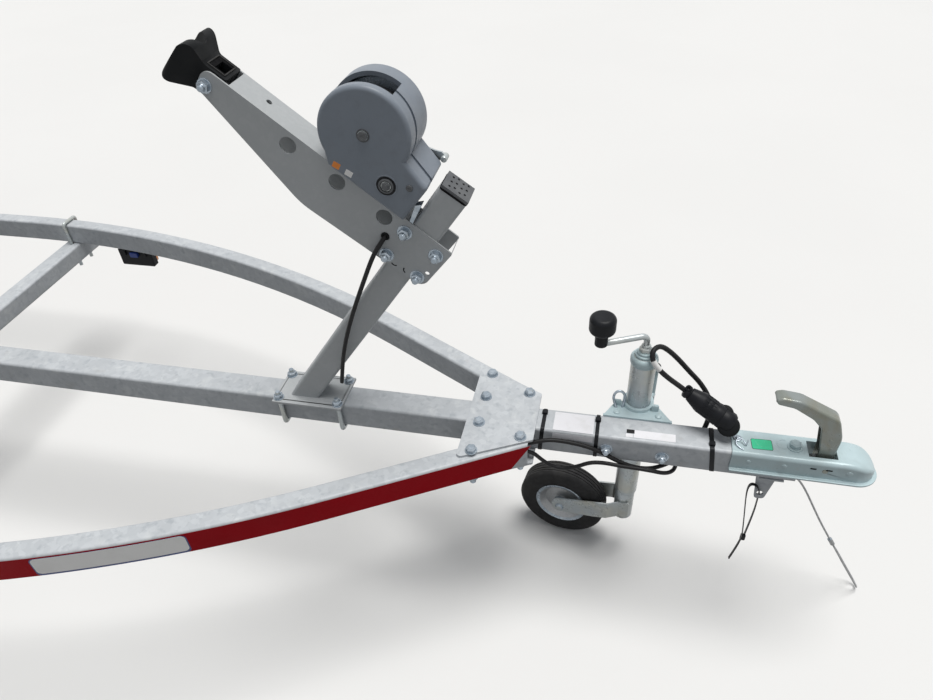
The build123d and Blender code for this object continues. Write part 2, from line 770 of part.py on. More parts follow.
crank_end = (
    jockey_x + jockey_crank_reach[0], jockey_y + jockey_crank_reach[1], jockey_rod_top - jockey_rod_drop,
)
rod_path = FilletPolyline(
    (jockey_x, jockey_y, jockey_cap_top - 30), (jockey_x, jockey_y, jockey_rod_top), crank_end, radius=12,
)
jockey_crank = sweep(Plane(origin=rod_path @ 0, z_dir=rod_path % 0) * Circle(jockey_rod_radius), rod_path)
jockey_crank += Pos(jockey_x, jockey_y, jockey_cap_top + seat_gap) * Cylinder(
    9, 15, align=(Align.CENTER, Align.CENTER, Align.MIN),
)
keep("jockey_crank", jockey_crank)
knob_profile = rounded([
    (0, 0, 0), (knob_stem_radius, 0, 2), (knob_stem_radius, knob_stem_height, 5),
    (knob_radius, knob_stem_height + 5, 9), (knob_radius, knob_height, 10), (0, knob_height, 0),
])
knob = Pos(crank_end[0], crank_end[1], jockey_rod_top - knob_drop) * revolve(Plane.XZ * knob_profile, Axis.Z)
knob -= jockey_crank
keep("jockey_knob", knob)

fork_inner = jockey_wheel_half_width + fork_side_gap
fork_outer = fork_inner + fork_plate
fork_frame = Pos(jockey_x, jockey_y) * Rot(0, 0, jockey_swivel)
fork_side = [
    (16, 118, 6), (16, 166, 6), (-22, 157, 30), (-jockey_trail - 19, 122, 18), (-jockey_trail - 19, 82, 18),
    (-60, 98, 40),
]
leg_radius = jockey_tube_radius - jockey_tube_wall - seat_gap
arm_root = leg_radius - fork_plate / 4
fork_plan = make_face(Polyline(
    (16, arm_root), (-6, arm_root), (-6 - fork_flare, fork_inner), (-2 * jockey_trail, fork_inner),
    (-2 * jockey_trail, fork_outer), (-7 - fork_flare, fork_outer), (-7, arm_root + fork_plate),
    (16, arm_root + fork_plate), close=True,
))
fork_arm = extrude(fork_plan, amount=fork_top) & side_plate(fork_side, (0, 2 * fork_outer))
fork = fork_arm + mirrored(fork_arm)
fork += Pos(0, 0, fork_bottom) * Cylinder(
    leg_radius, fork_top - seat_gap - fork_bottom, align=(Align.CENTER, Align.CENTER, Align.MIN),
)
fork += rod((-jockey_trail, -fork_outer - 5, 100), (-jockey_trail, fork_outer + 5, 100), jockey_axle_radius)
keep("jockey_fork", fork_frame * fork)
leg = Pos(0, 0, fork_top) * Cylinder(
    leg_radius, jockey_tube_top - 60 - fork_top, align=(Align.CENTER, Align.CENTER, Align.MIN),
)
keep("jockey_leg", Pos(jockey_x, jockey_y) * leg)

wheel_frame = fork_frame * Pos(-jockey_trail, 0, jockey_wheel_radius) * Rot(-90, 0, 0)
jockey_tyre = make_face(Polyline(
    (jockey_rim_radius, -20), (jockey_rim_radius + 22, -jockey_wheel_half_width),
    (jockey_wheel_radius - 6, -jockey_wheel_half_width + 1), (jockey_wheel_radius, -16),
    (jockey_wheel_radius, 16), (jockey_wheel_radius - 6, jockey_wheel_half_width - 1),
    (jockey_rim_radius + 22, jockey_wheel_half_width), (jockey_rim_radius, 20), close=True,
))
keep("jockey_tyre", wheel_frame * revolve(Plane.XZ * jockey_tyre, Axis.Z))
bore = jockey_axle_radius + running_gap
jockey_rim = make_face(Polyline(
    (bore, -27), (16, -27), (18, -16), (40, -10), (jockey_rim_radius - 6, -22), (jockey_rim_radius, -22),
    (jockey_rim_radius, 22), (jockey_rim_radius - 6, 22), (40, 10), (18, 16), (16, 27), (bore, 27),
    close=True,
))
keep("jockey_rim", wheel_frame * revolve(Plane.XZ * jockey_rim, Axis.Z))

# Axle tube on two pads, swing arms, hubs, rims, tyres, mudguards

axle_top = rail_bottom - pad_thickness
axle_z = axle_top - axle_size / 2
swing_drop = axle_z - wheel_radius
hub_x = axle_x - sqrt(swing_length ** 2 - swing_drop ** 2)
keep("axle_tube", square_tube(
    (axle_x - axle_size / 2, axle_x + axle_size / 2), (-axle_half_length, axle_half_length),
    (axle_z - axle_size / 2, axle_top), axle_wall, 1,
))
swing_outer_y = swing_inner_y + swing_thickness
disc_y = wheel_y + disc_w

bead_radius = rim_bead_radius + bead_gap
flange_radius = rim_bead_radius + bead_height
widest_radius = wheel_radius - widest_drop
inner_radius = wheel_radius - tread_thickness
tyre_outer = [
    (bead_radius, 59.4), (flange_radius, 61.2), (rim_bead_radius + 13, 67), (rim_bead_radius + 22, 74),
    (widest_radius, tyre_half_width), (wheel_radius - shoulder_drop, 71), (wheel_radius - 2, 58),
    (wheel_radius, 40),
]
tyre_inner = [
    (bead_radius, -48), (rim_bead_radius + 24, -62), (widest_radius, -67),
    (wheel_radius - inner_shoulder_drop, -60), (inner_radius, -40),
]
tyre_profile = make_face(Polyline(
    *tyre_outer, *[(radius, -w) for radius, w in reversed(tyre_outer)],
    *tyre_inner, *[(radius, -w) for radius, w in reversed(tyre_inner)], close=True,
))
tyre = revolve(Plane.XZ * tyre_profile, Axis.Z)
rim_outer = [
    (178, -66), (178, -62), (rim_bead_radius, -60), (165, -42), (150, -26), (150, 18), (165, 38),
    (rim_bead_radius, 60), (178, 62), (178, 66),
]
rim_inner = [(max(radius - rim_sheet - 3, 0), w) for radius, w in reversed(rim_outer)]
rim_barrel = make_face(Polyline(*rim_outer, *rim_inner, close=True))
disc_profile = make_face(Polyline(
    (hub_cap_radius + seat_gap, disc_w), (76, disc_w), (96, disc_w + 12), (128, disc_w + 12), (148, 12),
    (148, 2), (142, 2), (126, disc_w + 7), (98, disc_w + 7), (78, disc_w + 4),
    (hub_cap_radius + seat_gap, disc_w + 4), close=True,
))
rim = revolve(Plane.XZ * rim_barrel, Axis.Z) + revolve(Plane.XZ * disc_profile, Axis.Z)
for stud in range(4):
    rim -= Rot(0, 0, 90 * stud + 45) * Pos(stud_circle / 2, 0, disc_w) * Cylinder(stud_hole_radius, 30)
for vent in range(12):
    rim -= Rot(0, 0, 30 * vent) * Pos(112, 0, disc_w) * Cylinder(9, 60)
hub_profile = make_face(Polyline(
    (spindle_radius + running_gap, hub_back - wheel_y), (hub_radius, hub_back - wheel_y), (hub_radius, 14),
    (hub_flange_radius, 20), (hub_flange_radius, disc_w), (hub_cap_radius, disc_w), (hub_cap_radius, 44),
    (22, 52), (0, 54), (0, 40), (spindle_radius + running_gap, 40), close=True,
))
hub = revolve(Plane.XZ * hub_profile, Axis.Z)
pivot, centre = Vector(axle_x, axle_z), Vector(hub_x, wheel_radius)
reach = centre - pivot
swing_face = Pos(axle_x, axle_z) * Circle(30) + Pos(hub_x, wheel_radius) * Circle(28)
across = Vector(-reach.Y, reach.X).normalized()
swing_face += make_face(Polyline(
    *[(point.X, point.Y) for point in (
        pivot + across * 30, pivot - across * 30, centre - across * 28, centre + across * 28)], close=True,
))
swing = Pos(0, swing_outer_y, 0) * extrude(Plane.XZ * swing_face, amount=swing_thickness)
bar_side = (axle_size - 2 * axle_wall - 2 * seat_gap) / sqrt(2)
bar = Pos(axle_x, axle_z) * Rectangle(bar_side, bar_side, rotation=45)
swing += Pos(0, swing_inner_y, 0) * extrude(Plane.XZ * bar, amount=torsion_bar_length)
swing += rod((hub_x, swing_outer_y, wheel_radius), (hub_x, disc_y + 8, wheel_radius), spindle_radius)
guard_band = Circle(guard_radius + guard_thickness) - Circle(guard_radius)
guard_lip_band = Circle(guard_radius + guard_thickness) - Circle(guard_radius + guard_thickness - guard_lip)
guard_place = Pos(hub_x, guard_outer_y, wheel_radius)
guard = guard_place * extrude(Plane.XZ * guard_band, amount=guard_outer_y - guard_inner_y)
guard += guard_place * extrude(Plane.XZ * guard_lip_band, amount=guard_thickness)
guard_reach = 1.5 * guard_radius
guard -= block(
    (hub_x - guard_reach, hub_x + guard_reach), (guard_inner_y - 50, guard_outer_y + 50),
    (-guard_reach, guard_end_z),
)
for side_name, side in sides:
    outward = Plane(origin=(hub_x, side * wheel_y, wheel_radius), z_dir=(0, side, 0)).location
    keep("tyre_" + side_name, outward * tyre)
    keep("rim_" + side_name, outward * rim)
    keep("hub_" + side_name, outward * hub)
    keep("swing_arms", on_side(swing, side))
    keep("mudguards", on_side(guard, side))
    keep("axle_pads", on_side(block(
        (axle_x - pad_length / 2, axle_x + pad_length / 2), (rail_outer_y - rail_width, rail_outer_y),
        (axle_top, rail_bottom),
    ), side))
    for offset in (-guard_bracket_offset, guard_bracket_offset):
        bracket_mid = hub_x + offset
        guard_z = wheel_radius + sqrt(guard_radius ** 2 - offset ** 2)
        span_x = (bracket_mid - guard_bracket_width / 2, bracket_mid + guard_bracket_width / 2)
        stay = block(span_x, (rail_outer_y, rail_outer_y + 5), (rail_bottom + 10, guard_z))
        stay += block(span_x, (rail_outer_y, guard_outer_y - 20), (guard_z - 20, guard_z + 40))
        inside = Pos(hub_x, guard_outer_y, wheel_radius) * extrude(
            Plane.XZ * Circle(guard_radius - seat_gap), amount=300,
        )
        hollow = Pos(hub_x, guard_outer_y, wheel_radius) * extrude(
            Plane.XZ * Circle(guard_radius - seat_gap - 6), amount=guard_outer_y - rail_outer_y - 5,
        )
        keep("mudguard_stays", on_side((stay & inside) - hollow, side))

# Keel rollers and their brackets on the centre tube

roller_z = frame_top + roller_axis_height
roller_profile = make_face(Polyline(
    (roller_pin_radius + running_gap, -roller_half_width), (roller_end_radius - 4, -roller_half_width),
    (roller_end_radius, 4 - roller_half_width), (roller_end_radius, 12 - roller_half_width),
    (roller_waist_radius, -14), (roller_waist_radius, 14), (roller_end_radius, roller_half_width - 12),
    (roller_end_radius, roller_half_width - 4), (roller_end_radius - 4, roller_half_width),
    (roller_pin_radius + running_gap, roller_half_width), close=True,
))
cheek_inner = roller_half_width + roller_side_gap
cheek_outer = cheek_inner + roller_cheek
for number, roller_x in enumerate(roller_xs, start=1):
    along_x = (roller_x - roller_bracket_length / 2, roller_x + roller_bracket_length / 2)
    bracket = block(along_x, (-cheek_outer, cheek_outer), (frame_top, frame_top + roller_cheek))
    cheek = side_plate([
        (along_x[0], frame_top, 0), (along_x[1], frame_top, 0), (roller_x + 18, roller_z + 18, 16),
        (roller_x - 18, roller_z + 18, 16),
    ], (cheek_inner, cheek_outer))
    bracket += cheek + mirrored(cheek)
    pin_end = cheek_outer + 6
    bracket += rod((roller_x, -pin_end, roller_z), (roller_x, pin_end, roller_z), roller_pin_radius)
    keep("keel_brackets", bracket)
    roller = Plane(origin=(roller_x, 0, roller_z), z_dir=(0, 1, 0)).location * revolve(
        Plane.XZ * roller_profile, Axis.Z,
    )
    keep("keel_roller_" + str(number), roller)

# Bunks: carpeted boards on posts that stand in front of two cross members

bunk_frame = Pos(bunk_mid_x, bunk_y, bunk_top_z) * Rot(bunk_tilt, 0, 0)
bunk = bunk_frame * block(
    (-bunk_length / 2, bunk_length / 2), (-bunk_width / 2, bunk_width / 2), (-bunk_thickness, 0),
)
under_bunk = bunk_frame * block(
    (-bunk_length, bunk_length), (-bunk_width, bunk_width),
    (-bunk_top_z, -bunk_thickness - saddle_thickness),
)
for side_name, side in sides:
    keep("bunks", on_side(bunk, side))
    for index in bunk_cross:
        post_x = cross_xs[index] + cross_size / 2 + bunk_post_size / 2
        half = bunk_post_size / 2
        support = square_tube(
            (post_x - half, post_x + half), (bunk_y - half, bunk_y + half),
            (bunk_post_bottom, bunk_top_z), bunk_post_wall, 2,
        ) & under_bunk
        support += bunk_frame * block(
            (post_x - bunk_mid_x - 50, post_x - bunk_mid_x + 50), (-bunk_width / 2 + 8, bunk_width / 2 - 8),
            (-bunk_thickness - saddle_thickness, -bunk_thickness),
        )
        keep("bunk_posts", on_side(support, side))

# Rear lights on two tubes that slide in the rails

board_half_width = rail_outer_y - board_inset
board_rear_x = rear_x + lamp_depth
board_front_x = board_rear_x + board_thickness
keep("light_board", block((board_rear_x, board_front_x), (-board_half_width, board_half_width), board_z))
arm_tube_y = rail_outer_y - rail_width / 2
arm_tube_z = rail_bottom + rail_wall + seat_gap
for side_name, side in sides:
    keep("light_board_arms", on_side(square_tube(
        (board_front_x, arm_tube_front_x),
        (arm_tube_y - arm_tube_size / 2, arm_tube_y + arm_tube_size / 2),
        (arm_tube_z, arm_tube_z + arm_tube_size), arm_tube_wall, 0,
    ), side))
    keep("tail_lamps", on_side(block(
        (rear_x, board_rear_x), (board_half_width - lamp_width, board_half_width),
        (board_z[0] + 3, board_z[1] - 3),
    ), side))
plate_width, plate_height = number_plate
board_mid_z = (board_z[0] + board_z[1]) / 2
keep("number_plate", block(
    (board_rear_x - number_plate_thickness, board_rear_x), (-plate_width / 2, plate_width / 2),
    (board_mid_z - plate_height / 2, board_mid_z + plate_height / 2),
))

# Side marker lamps hanging under the rails

for side_name, side in sides:
    for marker_x in marker_xs:
        marker_y = rail_outer_at(marker_x) - rail_width / 2 - marker_depth / 2
        span_x = (marker_x - marker_length / 2, marker_x + marker_length / 2)
        marker_z = (rail_bottom - marker_height, rail_bottom)
        keep("marker_housings", on_side(block(span_x, (marker_y, marker_y + marker_depth), marker_z), side))
        keep("marker_lenses", on_side(block(
            (span_x[0] + 6, span_x[1] - 6),
            (marker_y + marker_depth, marker_y + marker_depth + marker_lens_depth),
            (marker_z[0] + 4, marker_z[1] - 12),
        ), side))

# Cords

keep("wiring_lead", cord("wiring_lead", wiring_route, wiring_diameter))
keep("slack_lead", cord("slack_lead", slack_route, slack_diameter))
keep("plug_lead", cord("plug_lead", plug_lead_route, plug_lead_diameter))
keep("safety_wire", cord("safety_wire", safety_wire_route, safety_wire_diameter))

grommet = arm_frame.from_local_coords(Vector(grommet_u, grommet_v, arm_outer))
hanging_route = [
    (grommet.X, grommet.Y + 2, grommet.Z), (grommet.X - 4, grommet.Y - 9, grommet.Z - 6),
    (grommet.X - 21, grommet.Y - 13, grommet.Z - 30), (-305, -43, 764), (-328, -42, 712), (-348, -41, 662),
    (-364, -40, 614), (-377, -39, 566), (-386, -38, 520),
]
hanging_cord = cord("hanging_cord", hanging_route, hanging_cord_diameter)
hanging_cord += arm_frame.location * arm_plate_between(
    Pos(grommet_u, grommet_v) * Circle(grommet_radius), arm_inner, arm_outer + grommet_lip,
)
hanging_cord += arm_frame.location * arm_plate_between(
    Pos(grommet_u, grommet_v) * Circle(grommet_radius + grommet_lip), arm_outer, arm_outer + grommet_lip,
)
keep("hanging_cord", hanging_cord)

# Plug with its cap closed

plug_axis = Vector(*plug_nose) - Vector(*plug_tail)
plug_length = plug_axis.length
plug_profile = make_face(Polyline(
    (0, 0), (plug_tail_radius - 2, 0), (plug_tail_radius, 3), (plug_tail_radius, 12),
    (plug_barrel_radius, 34), (plug_barrel_radius, 66), (plug_radius, 76), (plug_radius, plug_length - 8),
    (plug_radius - 8, plug_length), (0, plug_length), close=True,
))
plug_frame = Plane(origin=plug_tail, z_dir=plug_axis).location
keep("plug", plug_frame * revolve(Plane.XZ * plug_profile, Axis.Z))

# Eye at the end of the safety wire, resting on the floor

eye_start, eye_end = Vector(*safety_wire_route[-1]), Vector(*eye_tip)
eye_axis = eye_end - eye_start
eye_frame = Plane(origin=eye_start, x_dir=(0.2, -1, 0), z_dir=eye_axis).location
eye_length = eye_axis.length
eye_path = FilletPolyline(
    (2.5, 0, 6), (2.5, 0, 26), (11, 0, 72), (11, 0, eye_length - 14), (0, 0, eye_length),
    (-11, 0, eye_length - 14), (-11, 0, 72), (-2.5, 0, 26), (-2.5, 0, 6), radius=[20, 60, 6, 6, 6, 60, 20],
)
eye = sweep(Plane(origin=eye_path @ 0, z_dir=eye_path % 0) * Circle(1.75), eye_path)
eye += Cylinder(4.5, 20, align=(Align.CENTER, Align.CENTER, Align.MIN))
keep("safety_wire_eye", eye_frame * eye)

os.makedirs("parts", exist_ok=True)
for name, solids in pieces.items():
    moved = [Pos(shift_x, 0, 0) * solid for solid in solids]
    shape = moved[0] if len(moved) == 1 else Compound(children=moved)
    export_step(shape, "parts/" + name + ".step")
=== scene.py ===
import json
import math

import bmesh
import bpy
from mathutils import Matrix, Vector


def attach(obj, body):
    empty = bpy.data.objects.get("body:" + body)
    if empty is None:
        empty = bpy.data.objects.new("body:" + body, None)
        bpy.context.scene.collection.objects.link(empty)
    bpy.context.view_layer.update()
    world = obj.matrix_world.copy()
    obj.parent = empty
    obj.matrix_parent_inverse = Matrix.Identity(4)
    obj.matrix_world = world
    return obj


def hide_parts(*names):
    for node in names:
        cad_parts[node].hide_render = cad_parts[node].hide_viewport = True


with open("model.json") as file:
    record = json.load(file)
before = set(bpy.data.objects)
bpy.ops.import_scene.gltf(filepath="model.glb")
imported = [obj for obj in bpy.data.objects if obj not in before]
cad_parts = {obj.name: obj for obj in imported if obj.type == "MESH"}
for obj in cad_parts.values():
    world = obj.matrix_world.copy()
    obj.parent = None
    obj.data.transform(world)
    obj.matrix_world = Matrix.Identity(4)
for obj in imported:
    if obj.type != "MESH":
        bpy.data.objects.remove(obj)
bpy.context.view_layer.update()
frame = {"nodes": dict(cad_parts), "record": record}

# Places are written in millimetres in the modelling frame: x from the front edge of the coupling plates,
# y to the left, z up from the floor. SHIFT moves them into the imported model's frame.
SHIFT = 2.022
UP, DOWN, LEFT, RIGHT, FRONT, BACK = (0, 0, 1), (0, 0, -1), (0, 1, 0), (0, -1, 0), (1, 0, 0), (-1, 0, 0)
BODY = "frame"


def P(x, y, z):
    return Vector((x / 1000 + SHIFT, y / 1000, z / 1000))


def place(at, z=UP, x=None):
    """Matrix from local millimetres to the scene: origin at a place, local z and x along two directions."""
    z = Vector(z).normalized()
    if x is None:
        x = FRONT if abs(z.x) < 0.9 else LEFT
    x = Vector(x)
    x = (x - z * x.dot(z)).normalized()
    turn = Matrix((x, z.cross(x), z)).transposed().to_4x4()
    return Matrix.Translation(P(*at)) @ turn @ Matrix.Scale(0.001, 4)


# Camera at the photograph's place

FOCAL_PIXELS = 704.22
PHOTO_WIDTH = 933
SENSOR_WIDTH = 36
CAMERA_AT = (120.18, -990.18, 1444.99)
YAW, PITCH, ROLL = -0.2541, 0.6882, -0.0618
ahead = Vector((math.sin(YAW) * math.cos(PITCH), math.cos(YAW) * math.cos(PITCH), -math.sin(PITCH)))
level = Vector((math.cos(YAW), -math.sin(YAW), 0))
above = level.cross(ahead)
right = level * math.cos(ROLL) + above * math.sin(ROLL)
up = above * math.cos(ROLL) - level * math.sin(ROLL)
camera_data = bpy.data.cameras.new("camera")
camera_data.sensor_fit = "HORIZONTAL"
camera_data.sensor_width = SENSOR_WIDTH
camera_data.lens = FOCAL_PIXELS * SENSOR_WIDTH / PHOTO_WIDTH
camera_data.clip_start = 0.05
camera_data.clip_end = 100
camera = bpy.data.objects.new("camera", camera_data)
bpy.context.scene.collection.objects.link(camera)
camera.matrix_world = Matrix.Translation(P(*CAMERA_AT)) @ Matrix((right, up, -ahead)).transposed().to_4x4()
bpy.context.scene.camera = camera
bpy.context.scene.view_settings.view_transform = "Standard"

# Materials


class Paint:
    """A procedural material in object coordinates, built layer by layer."""

    def __init__(self, name, color, roughness, metallic=0.0, specular=0.5, coat=0.0):
        self.material = bpy.data.materials.new(name)
        self.material.use_nodes = True
        self.tree = self.material.node_tree
        self.shader = self.tree.nodes["Principled BSDF"]
        for socket, value in (("Metallic", metallic), ("Roughness", roughness),
                              ("Specular IOR Level", specular), ("Coat Weight", coat)):
            self.shader.inputs[socket].default_value = value
        self.coordinates = self.tree.nodes.new("ShaderNodeTexCoord").outputs["Object"]
        self.color = None
        self.base = (*color, 1)
        self.shader.inputs["Base Color"].default_value = self.base
        self.normal = None

    def texture(self, scale, kind="noise", stretch=(1, 1, 1), detail=4.0, distortion=0.0):
        mapping = self.tree.nodes.new("ShaderNodeMapping")
        mapping.inputs["Scale"].default_value = stretch
        self.tree.links.new(self.coordinates, mapping.inputs["Vector"])
        if kind == "cells":
            node = self.tree.nodes.new("ShaderNodeTexVoronoi")
            split = self.tree.nodes.new("ShaderNodeSeparateColor")
            self.tree.links.new(node.outputs["Color"], split.inputs["Color"])
            out = split.outputs["Red"]
        elif kind == "wave":
            node = self.tree.nodes.new("ShaderNodeTexWave")
            out = node.outputs["Fac"]
        else:
            node = self.tree.nodes.new("ShaderNodeTexNoise")
            node.inputs["Detail"].default_value = detail
            node.inputs["Distortion"].default_value = distortion
            out = node.outputs["Fac"]
        node.inputs["Scale"].default_value = scale
        self.tree.links.new(mapping.outputs["Vector"], node.inputs["Vector"])
        return out

    def ranged(self, value, low, high, to_low, to_high):
        node = self.tree.nodes.new("ShaderNodeMapRange")
        for socket, number in (("From Min", low), ("From Max", high),
                               ("To Min", to_low), ("To Max", to_high)):
            node.inputs[socket].default_value = number
        self.tree.links.new(value, node.inputs["Value"])
        return node.outputs["Result"]

    def layer(self, color, scale, low, high, strength, **options):
        """Mix a colour in where a texture rises from low to high."""
        factor = self.ranged(self.texture(scale, **options), low, high, 0, strength)
        mix = self.tree.nodes.new("ShaderNodeMix")
        mix.data_type = "RGBA"
        self.tree.links.new(factor, mix.inputs["Factor"])
        if self.color is None:
            mix.inputs["A"].default_value = self.base
        else:
            self.tree.links.new(self.color, mix.inputs["A"])
        mix.inputs["B"].default_value = (*color, 1)
        self.color = mix.outputs["Result"]
        self.tree.links.new(self.color, self.shader.inputs["Base Color"])
        return self

    def rough(self, scale, low, high):
        out = self.ranged(self.texture(scale), 0.3, 0.7, low, high)
        self.tree.links.new(out, self.shader.inputs["Roughness"])
        return self

    def bump(self, scale, strength, distance=0.001, **options):
        node = self.tree.nodes.new("ShaderNodeBump")
        node.inputs["Strength"].default_value = strength
        node.inputs["Distance"].default_value = distance
        self.tree.links.new(self.texture(scale, **options), node.inputs["Height"])
        if self.normal is not None:
            self.tree.links.new(self.normal, node.inputs["Normal"])
        self.normal = node.outputs["Normal"]
        self.tree.links.new(self.normal, self.shader.inputs["Normal"])
        return self


paints = {}


def paint(name, *arguments, **options):
    made = Paint(name, *arguments, **options)
    paints[name] = made.material
    return made


paint("galvanised_steel", (0.46, 0.485, 0.51), 0.5, 0.05, specular=0.2).layer(
    (0.6, 0.625, 0.65), 95, 0.2, 1, 0.45, kind="cells").layer(
    (0.4, 0.42, 0.44), 8, 0.42, 0.68, 0.45, detail=6).layer(
    (0.66, 0.68, 0.68), 34, 0.55, 0.72, 0.4, detail=8, distortion=0.6).layer(
    (0.28, 0.25, 0.21), 21, 0.66, 0.8, 0.3, detail=9).layer(
    (0.3, 0.33, 0.36), 75, 0.56, 0.7, 0.45, detail=5).rough(26, 0.38, 0.62).bump(90, 0.18, 0.0006).bump(
    700, 0.08, 0.0003)
paint("plain_galvanised", (0.42, 0.44, 0.45), 0.48, 0.06, specular=0.25).layer(
    (0.5, 0.52, 0.53), 4, 0.4, 0.7, 0.5, detail=3).layer(
    (0.4, 0.42, 0.44), 9, 0.5, 0.75, 0.3, detail=4).layer(
    (0.56, 0.57, 0.58), 140, 0.4, 1, 0.15, kind="cells").rough(20, 0.4, 0.58).bump(260, 0.1, 0.0004)
paint("zinc_plated_steel", (0.42, 0.45, 0.45), 0.32, 0.45).layer(
    (0.44, 0.5, 0.55), 16, 0.42, 0.66, 0.6, detail=3).layer(
    (0.6, 0.57, 0.45), 11, 0.5, 0.72, 0.5, detail=3, distortion=1.2).layer(
    (0.3, 0.3, 0.28), 60, 0.6, 0.78, 0.4, detail=8).rough(40, 0.2, 0.42).bump(420, 0.06, 0.0003)
paint("coupling_zinc", (0.43, 0.54, 0.565), 0.36, 0.05, specular=0.35).layer(
    (0.55, 0.68, 0.72), 14, 0.42, 0.66, 0.55, detail=4).layer(
    (0.32, 0.38, 0.39), 24, 0.52, 0.74, 0.45, detail=6).layer(
    (0.4, 0.37, 0.3), 45, 0.64, 0.8, 0.3, detail=9).rough(30, 0.24, 0.46).bump(300, 0.08, 0.0004)
paint("lever_zinc", (0.21, 0.225, 0.19), 0.28, 0.45).layer(
    (0.31, 0.35, 0.38), 13, 0.4, 0.62, 0.5, detail=3).layer(
    (0.21, 0.19, 0.13), 19, 0.48, 0.7, 0.5, detail=4, distortion=1.5).rough(35, 0.2, 0.36).bump(
    240, 0.07, 0.0004)
paint("black_rubber", (0.006, 0.007, 0.008), 0.6, specular=0.12).layer(
    (0.02, 0.021, 0.023), 24, 0.45, 0.75, 0.5, detail=8).rough(40, 0.45, 0.68).bump(620, 0.25, 0.0004)
paint("tyre_rubber", (0.02, 0.02, 0.021), 0.75, specular=0.2).layer(
    (0.055, 0.052, 0.048), 12, 0.45, 0.72, 0.55, detail=8).layer(
    (0.04, 0.04, 0.041), 90, 0.4, 0.6, 0.5).rough(30, 0.62, 0.85).bump(500, 0.25, 0.0005)
paint("silver_paint", (0.36, 0.37, 0.38), 0.38, 0.4).layer((0.5, 0.51, 0.52), 240, 0.4, 0.65, 0.4).layer(
    (0.36, 0.34, 0.31), 16, 0.56, 0.78, 0.4, detail=9).rough(40, 0.28, 0.5).bump(350, 0.06, 0.0004)
paint("black_plastic", (0.006, 0.007, 0.009), 0.42, specular=0.15).layer(
    (0.02, 0.021, 0.025), 30, 0.5, 0.75, 0.45, detail=7).rough(60, 0.34, 0.52).bump(900, 0.14, 0.0003)
paint("grey_plastic", (0.2, 0.23, 0.27), 0.45, specular=0.35).layer(
    (0.235, 0.265, 0.31), 9, 0.4, 0.7, 0.5, detail=5).layer(
    (0.17, 0.185, 0.21), 60, 0.5, 0.72, 0.35, detail=8).rough(50, 0.36, 0.5).bump(1100, 0.18, 0.0002)
paint("cap_grey", (0.075, 0.08, 0.087), 0.5).layer(
    (0.13, 0.135, 0.14), 45, 0.45, 0.7, 0.5, detail=6).rough(70, 0.42, 0.6).bump(800, 0.2, 0.0003)
paint("strap_webbing", (0.05, 0.052, 0.056), 0.85).layer(
    (0.11, 0.11, 0.115), 420, 0.3, 0.8, 0.7, kind="wave").layer((0.03, 0.03, 0.032), 60, 0.4, 0.7, 0.5).bump(
    420, 0.5, 0.0006, kind="wave")
paint("bunk_carpet", (0.05, 0.052, 0.055), 0.95).layer(
    (0.11, 0.112, 0.118), 420, 0.42, 0.62, 0.8, detail=2).layer(
    (0.03, 0.03, 0.032), 55, 0.3, 0.8, 0.45, kind="wave", stretch=(0.02, 1, 1)).layer(
    (0.13, 0.12, 0.1), 14, 0.55, 0.78, 0.4).bump(600, 0.7, 0.0015, detail=2).bump(
    55, 0.35, 0.002, kind="wave", stretch=(0.02, 1, 1))
paint("amber_lens", (0.85, 0.26, 0.02), 0.16, coat=0.6).layer(
    (0.95, 0.42, 0.06), 130, 0.3, 0.8, 0.6, kind="wave").bump(130, 0.4, 0.0006, kind="wave")
paint("red_lens", (0.5, 0.01, 0.012), 0.15, coat=0.6).layer(
    (0.72, 0.03, 0.03), 110, 0.3, 0.8, 0.6, kind="wave", stretch=(0, 1, 0)).bump(
    110, 0.4, 0.0006, kind="wave", stretch=(0, 1, 0))
paint("clear_lens", (0.8, 0.81, 0.82), 0.12, coat=0.6).layer(
    (0.62, 0.63, 0.65), 110, 0.3, 0.8, 0.5, kind="wave", stretch=(0, 1, 0)).bump(
    110, 0.4, 0.0006, kind="wave", stretch=(0, 1, 0))
paint("white_plate", (0.84, 0.84, 0.82), 0.36).layer(
    (0.74, 0.73, 0.7), 11, 0.5, 0.78, 0.4, detail=6).rough(40, 0.28, 0.44)
paint("cable_sheath", (0.008, 0.008, 0.009), 0.45, specular=0.2).layer(
    (0.024, 0.024, 0.023), 50, 0.5, 0.75, 0.4, detail=7).rough(60, 0.38, 0.56).bump(900, 0.12, 0.0003)
paint("wire_rope", (0.33, 0.34, 0.35), 0.38, 0.7).layer(
    (0.2, 0.2, 0.2), 330, 0.4, 0.8, 0.6, kind="wave").layer(
    (0.55, 0.56, 0.57), 90, 0.5, 0.7, 0.5).bump(330, 0.6, 0.0008, kind="wave")
paint("bolt_zinc", (0.3, 0.35, 0.4), 0.3, 0.7).layer((0.5, 0.55, 0.6), 60, 0.42, 0.62, 0.4).layer(
    (0.3, 0.28, 0.24), 90, 0.6, 0.78, 0.4).rough(90, 0.22, 0.38).bump(500, 0.03, 0.0002)
paint("red_film", (0.34, 0.002, 0.008), 0.45, specular=0.05).layer(
    (0.4, 0.006, 0.014), 420, 0.3, 1, 0.45, kind="cells").layer(
    (0.27, 0.002, 0.006), 6, 0.45, 0.7, 0.5, detail=5).layer(
    (0.34, 0.12, 0.11), 45, 0.68, 0.82, 0.2, detail=9).rough(20, 0.36, 0.5).bump(
    420, 0.05, 0.0002, kind="cells")
paint("white_film", (0.83, 0.83, 0.82), 0.4).layer(
    (0.72, 0.71, 0.69), 28, 0.5, 0.75, 0.4, detail=7).rough(40, 0.32, 0.48)
